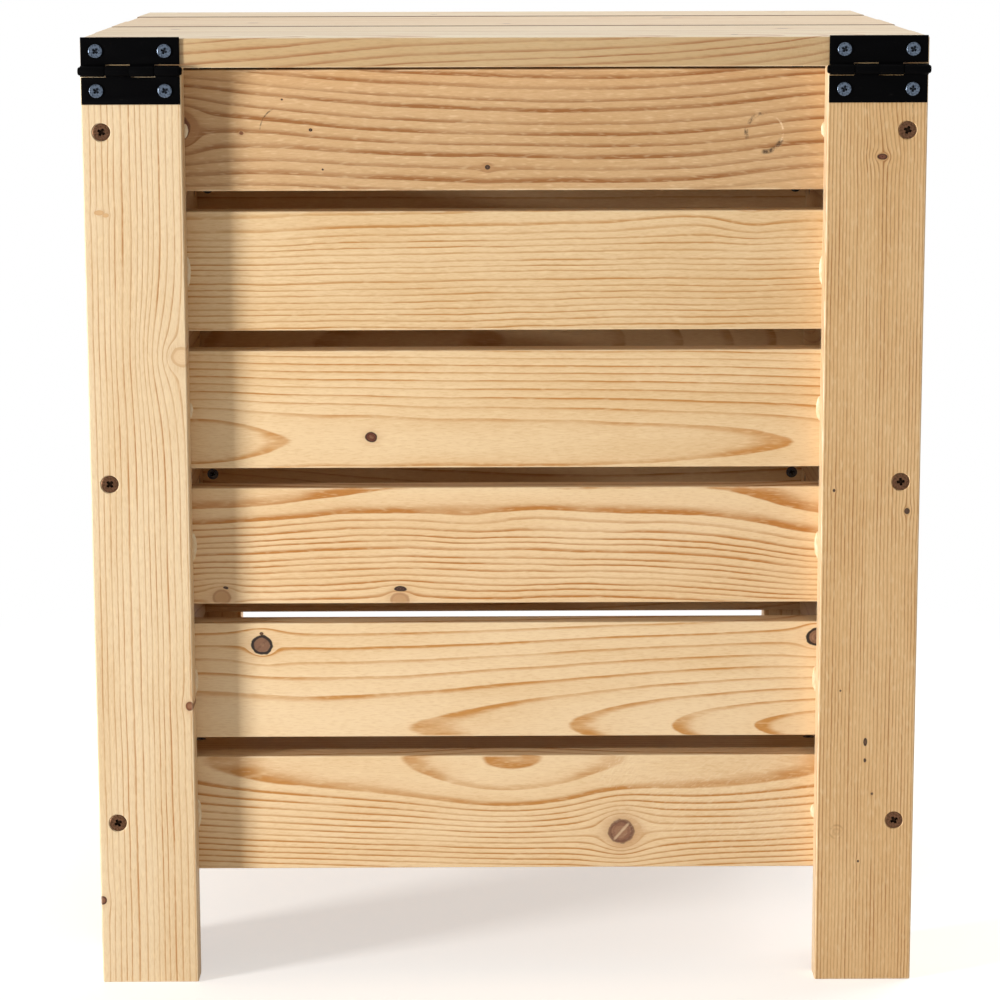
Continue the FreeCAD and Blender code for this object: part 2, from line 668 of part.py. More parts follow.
def make_hinge_screws(screw):
    """Two screws in each hinge leaf, their heads standing a little proud of the leaf."""
    for label, rise in (("hinge_screws_lid", "+"), ("hinge_screws_leg", "-")):
        group = ScrewGroup(label, screw)
        for hand in BOTH_ENDS:
            for side in "-+":
                WALLS["rear"].put(group.copy(), FACING_OUT,
                                  "%sLayout.leg_along %s Layout.hinge_hole_along" % (hand, side),
                                  "-Layout.fine_head_height",
                                  "Layout.pin_level %s Sizes.hinge_hole_rise" % rise)
        group.close()


def write_parts():
    """Check every object and shape, then write one file for each sub-part."""
    doc.recompute()
    failed = [item.Name for item in doc.Objects if {"Invalid", "Error"} & set(item.State)]
    failed += [part.Label for part in sub_parts if part.Shape.isNull() or not part.Shape.isValid()]
    if failed:
        raise RuntimeError("failed: " + ", ".join(failed))
    os.makedirs("parts", exist_ok=True)
    for part in sub_parts:
        part.Shape.exportStep("parts/%s.step" % part.Label)
        print("%-24s %3d solid(s) %12.1f mm3" % (part.Label, len(part.Shape.Solids), part.Shape.Volume))
    print(len(sub_parts), "sub-parts")


sizes = fill_sheet("Sizes", SIZES)
layout = fill_sheet("Layout", {alias: "=" + formula for alias, formula in LAYOUT.items()})
make_legs()
make_slats()
make_lid()
make_floor()
make_hinges()
make_slat_screws(fine_screw("slat_screw"))
make_lid_screws(fine_screw("batten_screw"))
make_floor_screws(fine_screw("floor_screw"))
make_cleat_screws(fine_screw("cleat_screw"))
make_hinge_screws(fine_screw("hinge_screw"))
make_corner_screws(make_screw("corner_screw", "Sizes.corner_screw_dia", "Sizes.corner_head_dia",
                              "Layout.corner_screw_length"))
write_parts()
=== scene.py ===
"""Dress the slatted storage box: pale softwood boards, black butt hinges and cross-recessed screws.

Places and sizes are metres in the frame of the part. Grain and wear are drawn in millimetres on each
board or screw, from attributes that the piece carries: where a point lies on its own board or screw,
and which board of its course it is.
"""
import logging
import math
from collections.abc import Iterable, Sequence
from dataclasses import dataclass, field, fields
from enum import Enum
from typing import Any

import bmesh
import bpy
import numpy as np
from mathutils import Matrix, Vector


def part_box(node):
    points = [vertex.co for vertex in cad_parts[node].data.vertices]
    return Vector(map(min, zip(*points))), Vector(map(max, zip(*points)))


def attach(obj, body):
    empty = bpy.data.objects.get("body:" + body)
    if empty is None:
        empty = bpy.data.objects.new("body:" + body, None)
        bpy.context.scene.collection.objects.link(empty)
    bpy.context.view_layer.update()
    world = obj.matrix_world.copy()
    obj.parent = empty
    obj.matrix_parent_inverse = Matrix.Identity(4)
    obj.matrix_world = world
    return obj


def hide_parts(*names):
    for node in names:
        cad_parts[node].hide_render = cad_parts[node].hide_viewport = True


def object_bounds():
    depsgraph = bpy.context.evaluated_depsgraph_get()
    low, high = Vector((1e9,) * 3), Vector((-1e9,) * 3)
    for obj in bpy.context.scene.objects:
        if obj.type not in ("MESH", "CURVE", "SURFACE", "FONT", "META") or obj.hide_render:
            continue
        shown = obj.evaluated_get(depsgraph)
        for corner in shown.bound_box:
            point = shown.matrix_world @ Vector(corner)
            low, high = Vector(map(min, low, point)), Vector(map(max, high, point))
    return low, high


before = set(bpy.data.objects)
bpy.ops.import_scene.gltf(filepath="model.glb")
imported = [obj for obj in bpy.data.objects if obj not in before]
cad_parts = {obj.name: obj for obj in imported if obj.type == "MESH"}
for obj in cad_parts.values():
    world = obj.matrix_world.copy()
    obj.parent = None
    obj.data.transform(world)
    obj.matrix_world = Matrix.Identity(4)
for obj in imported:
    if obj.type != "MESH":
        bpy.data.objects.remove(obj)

CAD_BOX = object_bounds()
MM = 0.001
PER_METRE = 1000.0
MERGE = 1e-6
HALF = (0.5, 0.5, 0.5)
WHITE = (1.0, 1.0, 1.0, 1.0)
BOARD_AT = "board_at"
BOARD_NUMBER = "board_number"
SCREW_AT = "screw_at"
HEADING = "heading"

Triple = tuple[float, float, float]
Colour = tuple[float, float, float, float]
Socket = bpy.types.NodeSocket
Sockets = bpy.types.bpy_prop_collection
log = logging.getLogger("slatted_box")


def srgb(red: int, green: int, blue: int) -> Colour:
    """Turn a screen colour into the linear colour that shaders read.

    Args:
        red: Red from 0 to 255.
        green: Green from 0 to 255.
        blue: Blue from 0 to 255.

    Returns:
        The linear colour with full alpha.
    """
    def linear(level: int) -> float:
        """Undo the screen's transfer curve for one channel."""
        share = level / 255
        return share / 12.92 if share <= 0.04045 else ((share + 0.055) / 1.055) ** 2.4

    return (linear(red), linear(green), linear(blue), 1.0)


class Term:
    """A node's output that stands in a formula as a number or a vector would."""

    SPATIAL = ("VECTOR", "RGBA")

    def __init__(self, wires: "Wiring", socket: Socket) -> None:
        """Keep the output and the wiring of its tree."""
        self.wires = wires
        self.socket = socket

    def work(self, operation: str, first: Any, second: Any) -> "Term":
        """Work out one operation, on vectors where either side is one.

        Args:
            operation: The operation's name.
            first: The left side.
            second: The right side.

        Returns:
            The result.
        """
        spatial = any(isinstance(side, tuple) or isinstance(side, Term) and side.socket.type in self.SPATIAL
                      for side in (first, second))
        worker = self.wires.vector if spatial else self.wires.math
        return worker(operation, first, second)

    def __add__(self, other: Any) -> "Term":
        """Add to it."""
        return self.work("ADD", self, other)

    def __sub__(self, other: Any) -> "Term":
        """Take from it."""
        return self.work("SUBTRACT", self, other)

    def __rsub__(self, other: Any) -> "Term":
        """Take it from something."""
        return self.work("SUBTRACT", other, self)

    def __mul__(self, other: Any) -> "Term":
        """Multiply it."""
        return self.work("MULTIPLY", self, other)

    def __truediv__(self, other: Any) -> "Term":
        """Divide it."""
        return self.work("DIVIDE", self, other)


class Wiring:
    """Adds nodes to one tree and joins them, so that a formula reads as one."""

    def __init__(self, tree: bpy.types.NodeTree) -> None:
        """Keep the tree that the nodes go into."""
        self.tree = tree

    def open_ends(self) -> None:
        """Place the tree's own inputs and outputs, once its interface is whole."""
        entry = self.tree.nodes.new("NodeGroupInput")
        self.given = {socket.name: Term(self, socket) for socket in entry.outputs}
        self.result = self.tree.nodes.new("NodeGroupOutput").inputs

    def feed(self, socket: Socket, value: Any) -> None:
        """Link an input to another node's output, or set it to a plain value.

        Args:
            socket: The input to feed.
            value: A term, an output socket or a plain value.
        """
        if isinstance(value, Term):
            value = value.socket
        if isinstance(value, bpy.types.NodeSocket):
            self.tree.links.new(value, socket)
        else:
            socket.default_value = value

    def node(self, kind: str, values: dict[Any, Any] | None = None, **settings: Any) -> bpy.types.Node:
        """Add a node.

        Args:
            kind: The node's type name.
            values: What goes into its inputs, by name or by number.
            **settings: Properties of the node itself.

        Returns:
            The new node.
        """
        made = self.tree.nodes.new(kind)
        for name, setting in settings.items():
            setattr(made, name, setting)
        for key, value in (values or {}).items():
            self.feed(made.inputs[key], value)
        return made

    def out(self, kind: str, values: dict[Any, Any] | None = None, output: int | str = 0,
            **settings: Any) -> Term:
        """Add a node as above, and take one of its outputs by number or by name."""
        return Term(self, self.node(kind, values, **settings).outputs[output])

    def math(self, operation: str, *values: Any) -> Term:
        """Work out one operation on numbers."""
        return self.out("ShaderNodeMath", dict(enumerate(values)), operation=operation)

    def vector(self, operation: str, *values: Any) -> Term:
        """Work out one operation on vectors that gives a vector."""
        return self.out("ShaderNodeVectorMath", dict(enumerate(values)), operation=operation)

    def gauge(self, operation: str, *values: Any) -> Term:
        """Work out one operation on vectors that gives a number."""
        return self.out("ShaderNodeVectorMath", dict(enumerate(values)), 1, operation=operation)

    def split(self, value: Any) -> tuple[Term, ...]:
        """Take a vector apart."""
        parts = self.node("ShaderNodeSeparateXYZ", {0: value}).outputs
        return tuple(Term(self, part) for part in parts)

    def join(self, x: Any, y: Any, z: Any) -> Term:
        """Put a vector together."""
        return self.out("ShaderNodeCombineXYZ", {0: x, 1: y, 2: z})

    def step(self, value: Any, low: Any, high: Any) -> Term:
        """Rise smoothly from 0 to 1 between two levels."""
        return self.out("ShaderNodeMapRange", {"Value": value, "From Min": low, "From Max": high},
                        interpolation_type="SMOOTHSTEP")

    def fall(self, value: Any, low: Any, high: Any) -> Term:
        """Fall smoothly from 1 to 0 between two levels."""
        return 1.0 - self.step(value, low, high)

    def spread(self, share: Any, low: Any, high: Any) -> Term:
        """Carry a share of 0 to 1 over to a range."""
        return self.out("ShaderNodeMapRange", {"Value": share, "To Min": low, "To Max": high})

    def blend(self, share: Any, first: Any, second: Any, way: str = "MIX") -> Term:
        """Mix a share of a second colour into the first."""
        values = {0: share, 6: first, 7: second}
        return self.out("ShaderNodeMix", values, 2, data_type="RGBA", blend_type=way)

    def noise(self, place: Any, detail: float = 2.0, roughness: float = 0.5, output: int = 0) -> Term:
        """Draw solid noise whose grain is one unit of its place, as a value or, from output 1, a colour."""
        values = {"Vector": place, "Scale": 1.0, "Detail": detail, "Roughness": roughness}
        return self.out("ShaderNodeTexNoise", values, output)

    def draw(self, number: Any, output: int = 0) -> Term:
        """Draw a fixed random value for a number or, from output 1, a colour."""
        return self.out("ShaderNodeTexWhiteNoise", {"W": number}, output, noise_dimensions="1D")

    def group(self, tree: bpy.types.NodeTree, **values: Any) -> Sockets:
        """Place a shader node group.

        Args:
            tree: The group.
            **values: What goes into its inputs, with _ for the spaces in a name.

        Returns:
            The group's outputs.
        """
        made = self.node("ShaderNodeGroup", node_tree=tree)
        for name, value in values.items():
            self.feed(made.inputs[name.replace("_", " ")], value)
        return made.outputs


def new_material(name: str, shown: Colour) -> tuple[bpy.types.Material, Wiring, Sockets]:
    """Start a material that has one Principled shader.

    Args:
        name: The material's name.
        shown: Its plain colour.

    Returns:
        The material, its wiring and the shader's inputs.
    """
    made = bpy.data.materials.new(name)
    made.use_nodes = True
    made.diffuse_color = shown
    return made, Wiring(made.node_tree), made.node_tree.nodes["Principled BSDF"].inputs


class GroupBench(Wiring):
    """A shader node group under construction, with its named inputs and outputs."""

    KINDS = {1: "NodeSocketFloat", 3: "NodeSocketVector", 4: "NodeSocketColor"}

    def __init__(self, name: str, inputs: dict[str, Any], outputs: dict[str, int]) -> None:
        """Open a group.

        Args:
            name: The group's name.
            inputs: Its inputs with their usual values.
            outputs: Its outputs with their sizes: 1 a value, 3 a vector, 4 a colour.
        """
        super().__init__(bpy.data.node_groups.new(name, "ShaderNodeTree"))
        for label, usual in inputs.items():
            size = len(usual) if isinstance(usual, tuple) else 1
            socket = self.tree.interface.new_socket(label, in_out="INPUT", socket_type=self.KINDS[size])
            socket.default_value = usual
        for label, size in outputs.items():
            self.tree.interface.new_socket(label, in_out="OUTPUT", socket_type=self.KINDS[size])
        self.open_ends()

    def close(self, **results: Any) -> bpy.types.NodeTree:
        """Lead the results out.

        Args:
            **results: What each output gives, with _ for the spaces in its name.

        Returns:
            The finished group.
        """
        for name, value in results.items():
            self.feed(self.result[name.replace("_", " ")], value)
        return self.tree


class TimberGroups:
    """The shader node groups that every softwood board shares, each built once."""

    NOWHERE = (0.0, 0.0, 0.0)
    WOOD = (0.8, 0.6, 0.4, 1.0)
    DRIFT = (13.7, 7.1, 3.3)
    RAGGED_GRAIN = (0.22, 0.22, 0.05)
    SWAY_GRAIN = (0.012, 0.03, 0.03)
    FRAY_GRAIN = (0.07, 1.5, 1.5)
    FADE_GRAIN = (0.02, 0.11, 0.11)
    CLOUD_GRAIN = (0.009, 0.045, 0.045)
    FLECK_GRAIN = (0.24, 1.7, 1.7)
    PORE_GRAIN = (0.16, 0.9, 0.9)
    SCUFF_GRAIN = (0.2, 0.2, 0.2)
    DASH_GRAIN = (0.34, 1.25, 0.6)
    WEAR_GRAIN = (0.06, 0.25, 0.25)
    BOW_LENGTH = 100.0
    TORN_DEPTH = 30.0
    FLOW_WIDTH = 1.25
    HALO_FALL = -0.55
    BAND_BEGIN, BAND_FULL, BAND_END = -1.2, -0.42, -0.2
    GLOW_POWER = 2.6
    WAVE_PACE = 0.09
    NUMBER_PACE = 3.17
    SECOND_DRAW = 51.3
    PITH_ACROSS, PITH_DEPTH = (-62.0, 62.0), (9.0, 34.0)
    BOW, BOW_AT = (-5.0, 5.0), (-120.0, 120.0)
    SPACING = (3.4, 6.4)
    HALO, VEIN = srgb(176, 122, 74), srgb(206, 168, 128)
    CLOUD, STREAK, SILK = (0.94, 0.90, 0.84, 1.0), (0.80, 0.69, 0.55, 1.0), srgb(250, 226, 184)
    # The first colour paints the glints of lifted fibres; the second their darker torn spots.
    LIFTED, DROPPED = srgb(255, 240, 212), srgb(186, 138, 86)
    WORN, END_GRAIN = srgb(246, 224, 188), (0.72, 0.60, 0.46, 1.0)

    def __init__(self) -> None:
        """Build all the groups."""
        self.bend = self.build_bend()
        self.knot = self.build_knot()
        self.knot_paint = self.build_knot_paint()
        self.rings = self.build_rings()
        self.surface = self.build_surface()
        self.scuff = self.build_scuff()
        self.torn = self.build_torn()
        self.wear = self.build_wear_and_side_shading()
        self.draw = self.build_draw()

    def build_bend(self) -> bpy.types.NodeTree:
        """Shift the grain over one stretch of the board: lines move across it, or wood rises to its face.

        Returns:
            The group.
        """
        bench = GroupBench("grain_bend",
                           {"Place": self.NOWHERE, "Along": 0.0, "Across": 0.0, "Length": 40.0,
                            "Height": 15.0, "Lift": 0.0, "Rise": 0.0}, {"Place": 3})
        given = bench.given
        offset = given["Place"] - bench.join(given["Along"], given["Across"], 0.0)
        scaled = offset / bench.join(given["Length"], given["Height"], 1.0)
        near = scaled * (1.0, 1.0, 0.0)
        share = bench.math("EXPONENT", bench.gauge("DOT_PRODUCT", near, near) * -1.0)
        shift = bench.join(0.0, given["Lift"] * -1.0, given["Rise"])
        return bench.close(Place=given["Place"] + shift * share)

    def build_knot(self) -> bpy.types.NodeTree:
        """Lead the grain round a knot, and mark the knot's parts.

        Returns:
            The group.
        """
        bench = GroupBench("knot_flow", {"Place": self.NOWHERE, "Along": 0.0, "Across": 0.0, "Radius": 5.0,
                                         "Stretch": 1.15, "Reach": 1.0},
                           {"Place": 3, "Mask": 1, "Rim": 1, "Halo": 1, "Rings": 1, "Crack": 1})
        given = bench.given
        x, y, z = bench.split(given["Place"])
        along = x - given["Along"]
        across = y - given["Across"]
        ragged = bench.noise(given["Place"] * self.RAGGED_GRAIN, 5.0, 0.6)
        shape = bench.join(along / given["Stretch"], across, 0.0)
        far = bench.gauge("LENGTH", shape) / given["Radius"] * bench.spread(ragged, 0.8, 1.2)
        wide = along / (given["Stretch"] * self.FLOW_WIDTH)
        square = wide * wide + across * across
        ring = given["Radius"] * given["Radius"]
        push = ring * given["Reach"] / bench.math("MAXIMUM", square, 0.01)
        kept = bench.math("MAXIMUM", 1.0 - push, 0.0)
        led = given["Across"] + across * kept
        mask = bench.fall(far, 0.88, 1.02)
        rim = bench.step(far, 0.66, 0.8) * bench.fall(far, 0.97, 1.06)
        halo = bench.math("EXPONENT", bench.math("POWER", far, 2.0) * self.HALO_FALL)
        rings = bench.noise(bench.join(far * 4.2, ragged * 1.5, given["Along"]), 2.0)
        line = bench.math("MULTIPLY_ADD", along, 0.75, across * -0.66)
        off = bench.math("ABSOLUTE", line) / given["Radius"]
        thin = bench.fall(off, 0.03, bench.spread(ragged, 0.02, 0.3))
        crack = thin * bench.fall(far, 0.7, 0.95)
        return bench.close(Place=bench.join(x, led, z), Mask=mask, Rim=rim, Halo=halo, Rings=rings,
                           Crack=crack)

    def build_knot_paint(self) -> bpy.types.NodeTree:
        """Colour a knot over the board.

        Returns:
            The group.
        """
        bench = GroupBench("knot_paint",
                           {"Color": self.WOOD, "Mask": 0.0, "Rim": 0.0, "Halo": 0.0,
                            "Rings": 0.0, "Crack": 0.0, "Core": (0.3, 0.15, 0.07, 1.0),
                            "Bark": (0.03, 0.015, 0.01, 1.0), "Bark Share": 0.8, "Halo Share": 0.35,
                            "Check": (0.03, 0.015, 0.01, 1.0), "Check Share": 0.0}, {"Color": 4})
        given = bench.given
        warm = bench.blend(given["Halo"] * given["Halo Share"], given["Color"], self.HALO)
        veined = bench.step(given["Rings"], 0.42, 0.58) * 0.4
        core = bench.blend(veined, given["Core"], bench.blend(0.5, given["Core"], self.VEIN))
        knot = bench.blend(given["Mask"], warm, core)
        barked = bench.blend(given["Rim"] * given["Bark Share"], knot, given["Bark"])
        split = bench.blend(given["Crack"] * given["Check Share"], barked, given["Check"])
        return bench.close(Color=split)

    def build_rings(self) -> bpy.types.NodeTree:
        """Growth rings about a pith line that lies below the good face.

        Returns:
            The group.
        """
        bench = GroupBench("growth_rings",
                           {"Place": self.NOWHERE, "Seed": 0.0, "Face": 7.5, "Pith Across": 40.0,
                            "Pith Depth": 15.0, "Slope Across": 0.0, "Slope Depth": 0.0, "Bow": 0.0,
                            "Bow At": 0.0, "Spacing": 5.0, "Phase": 0.0, "Heart Radius": 0.0,
                            "Heart Spacing": 5.0, "Uneven": 0.4, "Wobble": 2.0, "Fibre": 0.12, "Band": 0.25,
                            "Glow": 0.28}, {"Late": 1})
        given = bench.given
        shift = given["Seed"] * self.DRIFT
        sway = bench.noise(given["Place"] * self.SWAY_GRAIN + shift, 4.0, 0.48, 1) - HALF
        fray = bench.noise(given["Place"] * self.FRAY_GRAIN + shift, 1.0, output=1) - HALF
        x, y, z = bench.split(given["Place"])
        _, sway_y, sway_z = bench.split(sway)
        _, fray_y, fray_z = bench.split(fray)

        def loose(value: Term, slow_part: Term, quick_part: Term) -> Term:
            """Add the slow sway and the fine fraying of the fibres to a distance."""
            swayed = bench.math("MULTIPLY_ADD", slow_part, given["Wobble"], value)
            return bench.math("MULTIPLY_ADD", quick_part, given["Fibre"], swayed)

        side = y - given["Pith Across"] - x * given["Slope Across"]
        from_top = (x - given["Bow At"]) / self.BOW_LENGTH
        bowed = from_top * from_top * given["Bow"]
        depth = given["Face"] - z + given["Pith Depth"]
        depth = bench.math("MULTIPLY_ADD", x, given["Slope Depth"], depth) + bowed
        arm = bench.join(loose(side, sway_y, fray_y), loose(depth, sway_z, fray_z), 0.0)
        radius = bench.gauge("LENGTH", arm)
        wave_at = bench.math("MULTIPLY_ADD", radius, self.WAVE_PACE, given["Seed"])
        uneven = bench.out("ShaderNodeTexNoise", {"W": wave_at, "Scale": 1.0, "Detail": 1.0},
                           noise_dimensions="1D")
        past = radius - given["Heart Radius"]
        outer = bench.math("MAXIMUM", past, 0.0) / given["Spacing"]
        inner = bench.math("MINIMUM", past, 0.0) / given["Heart Spacing"]
        count = outer + inner + given["Phase"] + bench.spread(uneven, -1.0, 1.0) * given["Uneven"]
        part = bench.math("FRACT", count)
        draw = bench.draw(bench.math("FLOOR", count) + given["Seed"])
        begin, full, end = (bench.math("MULTIPLY_ADD", given["Band"], share, 1.0)
                            for share in (self.BAND_BEGIN, self.BAND_FULL, self.BAND_END))
        slow_rise = bench.math("POWER", part, self.GLOW_POWER) * given["Glow"]
        rise = bench.math("MULTIPLY_ADD", bench.step(part, begin, full), 0.75, slow_rise)
        late = rise * bench.fall(part, end, 1.0)
        faded = bench.noise(given["Place"] * self.FADE_GRAIN + shift)
        fade = bench.spread(bench.step(faded, 0.3, 0.7), 0.5, 1.15)
        strength = bench.spread(draw, 0.66, 1.15) * fade
        return bench.close(Late=late * strength)

    def build_surface(self) -> bpy.types.NodeTree:
        """Colour, gloss and relief of planed softwood.

        Returns:
            The group.
        """
        bench = GroupBench("planed_softwood",
                           {"Place": self.NOWHERE, "Seed": 0.0, "Late": 0.0,
                            "Early Color": self.WOOD, "Late Color": (0.45, 0.22, 0.08, 1.0),
                            "Contrast": 0.9}, {"Color": 4, "Roughness": 1, "Height": 1})
        given = bench.given
        shift = given["Seed"] * self.DRIFT
        cloud = bench.noise(given["Place"] * self.CLOUD_GRAIN + shift, 3.0)
        fleck = bench.noise(given["Place"] * self.FLECK_GRAIN + shift, 2.0, 0.6)
        pore = bench.noise(given["Place"] * self.PORE_GRAIN + shift, 1.0)
        strength = given["Contrast"] * bench.spread(cloud, 0.7, 1.25)
        share = bench.math("MINIMUM", given["Late"] * strength, 1.0)
        warm = bench.blend(bench.step(cloud, 0.36, 0.7), given["Early Color"], self.CLOUD, "MULTIPLY")
        wood = bench.blend(share, warm, given["Late Color"])
        streak = bench.step(fleck, 0.42, 0.74) * 0.4
        wood = bench.blend(streak, wood, self.STREAK, "MULTIPLY")
        silk = bench.step(pore, 0.5, 0.8) * 0.3
        wood = bench.blend(silk, wood, self.SILK)
        rough = bench.spread(fleck, 0.44, 0.62) - share * 0.1
        height = bench.math("MULTIPLY_ADD", share, 0.6, fleck * 0.5)
        return bench.close(Color=wood, Roughness=rough, Height=height)

    def build_scuff(self) -> bpy.types.NodeTree:
        """A broken ring of dark scuffing, as a tool's rim leaves.

        Returns:
            The group.
        """
        bench = GroupBench("scuff_ring",
                           {"Color": self.WOOD, "Place": self.NOWHERE, "Along": 0.0,
                            "Across": 0.0, "Radius": 8.0, "Width": 0.5, "Turn": 0.0, "Reach": 3.2,
                            "Seed": 0.0, "Share": 0.8, "Ink": (0.04, 0.02, 0.01, 1.0)}, {"Color": 4})
        given = bench.given
        x, y, _ = bench.split(given["Place"])
        side = x - given["Along"]
        up = y - given["Across"]
        far = bench.gauge("LENGTH", bench.join(side, up, 0.0))
        off = bench.math("ABSOLUTE", far - given["Radius"]) / given["Width"]
        band = bench.fall(off, 0.3, 1.4)
        angle = bench.math("ARCTAN2", up, side) - given["Turn"]
        round_off = bench.math("ABSOLUTE", bench.math("WRAP", angle, -math.pi, math.pi))
        swept = bench.fall(round_off / given["Reach"], 0.75, 1.0)
        seeded = given["Place"] * self.SCUFF_GRAIN + bench.join(given["Seed"], 0.0, 0.0)
        broken = bench.step(bench.noise(seeded, 3.0, 0.7), 0.4, 0.62)
        share = band * swept * (broken * given["Share"])
        return bench.close(Color=bench.blend(share, given["Color"], given["Ink"]))

    def build_torn(self) -> bpy.types.NodeTree:
        """A patch where the planer tore the fibres: short pale dashes that are painted glints of the lifted
        fibres, and darker torn spots.

        Returns:
            The group.
        """
        bench = GroupBench("torn_fibre_and_glints",
                           {"Color": self.WOOD, "Place": self.NOWHERE, "Along": 0.0,
                            "Across": 0.0, "Length": 40.0, "Height": 20.0, "Turn": 0.5, "Share": 0.5},
                           {"Color": 4})
        given = bench.given
        offset = given["Place"] - bench.join(given["Along"], given["Across"], 0.0)
        scaled = offset / bench.join(given["Length"], given["Height"], self.TORN_DEPTH)
        far = bench.gauge("DOT_PRODUCT", scaled, scaled)
        patch = bench.fall(far, 0.15, 1.3)
        turned = bench.out("ShaderNodeVectorRotate", {"Vector": offset, "Angle": given["Turn"]},
                           rotation_type="Z_AXIS")
        dash = bench.noise(turned * self.DASH_GRAIN, 1.0)
        # Painted highlight: the pale dashes stand in for light that glints off the lifted fibres.
        lift = patch * given["Share"] * bench.step(dash, 0.56, 0.68)
        drop = patch * 0.5 * bench.fall(dash, 0.3, 0.42)
        pale = bench.blend(lift, given["Color"], self.LIFTED)
        dark = bench.blend(drop * given["Share"], pale, self.DROPPED)
        return bench.close(Color=dark)

    def build_wear_and_side_shading(self) -> bpy.types.NodeTree:
        """Handling along the arrises of a board: a broken line that is paler and a little rougher. A tint
        on one narrow side paints light there on some boards and shade on others, and the end grain is
        darker.

        Returns:
            The group.
        """
        bench = GroupBench("arris_wear_and_side_shading",
                           {"Color": self.WOOD, "Roughness": 0.5, "Place": self.NOWHERE,
                            "Half Size": (200.0, 31.0, 7.5), "Seed": 0.0, "Side Tone": WHITE,
                            "Side Way": 1.0, "Side Reach": 0.3}, {"Color": 4, "Roughness": 1})
        given = bench.given
        inside = given["Half Size"] - bench.vector("ABSOLUTE", given["Place"])
        x, y, z = bench.split(inside)
        lowest = bench.math("MINIMUM", x, bench.math("MINIMUM", y, z))
        highest = bench.math("MAXIMUM", x, bench.math("MAXIMUM", y, z))
        total = x + (y + z)
        middle = total - lowest - highest
        edge = bench.fall(middle, 0.25, 1.3)
        at = given["Place"] * self.WEAR_GRAIN + bench.join(given["Seed"], 0.0, 0.0)
        broken = bench.step(bench.noise(at, 3.0, 0.6), 0.42, 0.66)
        share = edge * bench.spread(broken, 0.15, 0.75)
        colour = bench.blend(share, given["Color"], self.WORN)
        # Painted light and shade: the side tone multiplies the colour of one narrow side, paler where that
        # side is lit and darker where it is shaded.
        _, across, _ = bench.split(given["Place"])
        _, half_width, _ = bench.split(given["Half Size"])
        off_side = half_width - across * given["Side Way"]
        side = bench.fall(off_side, 0.05, given["Side Reach"])
        colour = bench.blend(side, colour, given["Side Tone"], "MULTIPLY")
        end = bench.fall(x, 0.05, 0.25)
        colour = bench.blend(end * 0.5, colour, self.END_GRAIN, "MULTIPLY")
        rough = bench.math("MULTIPLY_ADD", share, 0.12, given["Roughness"])
        return bench.close(Color=colour, Roughness=rough)

    def build_draw(self) -> bpy.types.NodeTree:
        """Draw a stock board's log from its number.

        Returns:
            The group.
        """
        bench = GroupBench("stock_board", {"Number": 0.0, "Seed": 0.0},
                           {"Seed": 1, "Pith Across": 1, "Pith Depth": 1, "Bow": 1, "Bow At": 1,
                            "Spacing": 1, "Tone": 1})
        given = bench.given
        seed = bench.math("MULTIPLY_ADD", given["Number"], self.NUMBER_PACE, given["Seed"])
        side, deep, bow = bench.split(bench.draw(seed, 1))
        where, gap, tone = bench.split(bench.draw(seed + self.SECOND_DRAW, 1))
        return bench.close(Seed=seed, Tone=tone, Pith_Across=bench.spread(side, *self.PITH_ACROSS),
                           Pith_Depth=bench.spread(deep, *self.PITH_DEPTH),
                           Bow=bench.spread(bow, *self.BOW), Bow_At=bench.spread(where, *self.BOW_AT),
                           Spacing=bench.spread(gap, *self.SPACING))


class KnotKind(Enum):
    """Knots by their colours: core, bark and check, and the shares of the bark, the halo and the check."""

    TIGHT = (srgb(128, 76, 48), srgb(104, 62, 40), srgb(70, 40, 28), 0.60, 0.55, 0.0)
    SPLIT = (srgb(136, 94, 72), srgb(98, 64, 48), srgb(226, 198, 162), 0.55, 0.80, 0.6)
    BARKED = (srgb(128, 92, 70), srgb(26, 17, 13), srgb(70, 46, 34), 0.97, 0.22, 0.25)
    PITCH = (srgb(58, 34, 24), srgb(36, 22, 16), srgb(30, 18, 12), 0.80, 0.30, 0.0)
    RED = (srgb(88, 32, 14), srgb(50, 24, 15), srgb(40, 22, 16), 0.80, 0.45, 0.0)
    STAIN = (srgb(214, 174, 126), srgb(196, 148, 98), srgb(170, 116, 70), 0.30, 0.25, 0.0)
    BLIND = (srgb(226, 198, 158), srgb(188, 138, 88), srgb(170, 116, 70), 0.45, 0.25, 0.0)
    CUT = (srgb(200, 158, 114), srgb(166, 118, 80), srgb(120, 80, 54), 0.35, 0.45, 0.0)

    def paint(self) -> dict[str, Any]:
        """The colours and shares as the painting group's inputs."""
        return dict(zip(("Core", "Bark", "Check", "Bark_Share", "Halo_Share", "Check_Share"), self.value))


class Mark:
    """Something on a board whose fields have the names of its shader group's inputs."""

    def values(self) -> dict[str, Any]:
        """The fields as the group's inputs."""
        names = [entry.name for entry in fields(self) if entry.name != "kind"]
        return {name.title(): getattr(self, name) for name in names}


@dataclass(frozen=True)
class Knot(Mark):
    """A knot on a board's face, in millimetres from the board's middle."""

    along: float
    across: float
    radius: float
    kind: KnotKind = KnotKind.TIGHT
    stretch: float = 1.15
    reach: float = 1.1


@dataclass(frozen=True)
class Bend(Mark):
    """A stretch where the grain lines rise or dip, in millimetres from the board's middle."""

    along: float
    across: float
    length: float
    height: float
    lift: float = 0.0
    rise: float = 0.0


@dataclass(frozen=True)
class Scuff(Mark):
    """A broken scuff arc on a board's face, in millimetres from the board's middle and in radians."""

    along: float
    across: float
    radius: float
    seed: float
    width: float = 0.5
    turn: float = 0.0
    reach: float = 3.2
    share: float = 0.8
    ink: Colour = srgb(58, 40, 28)


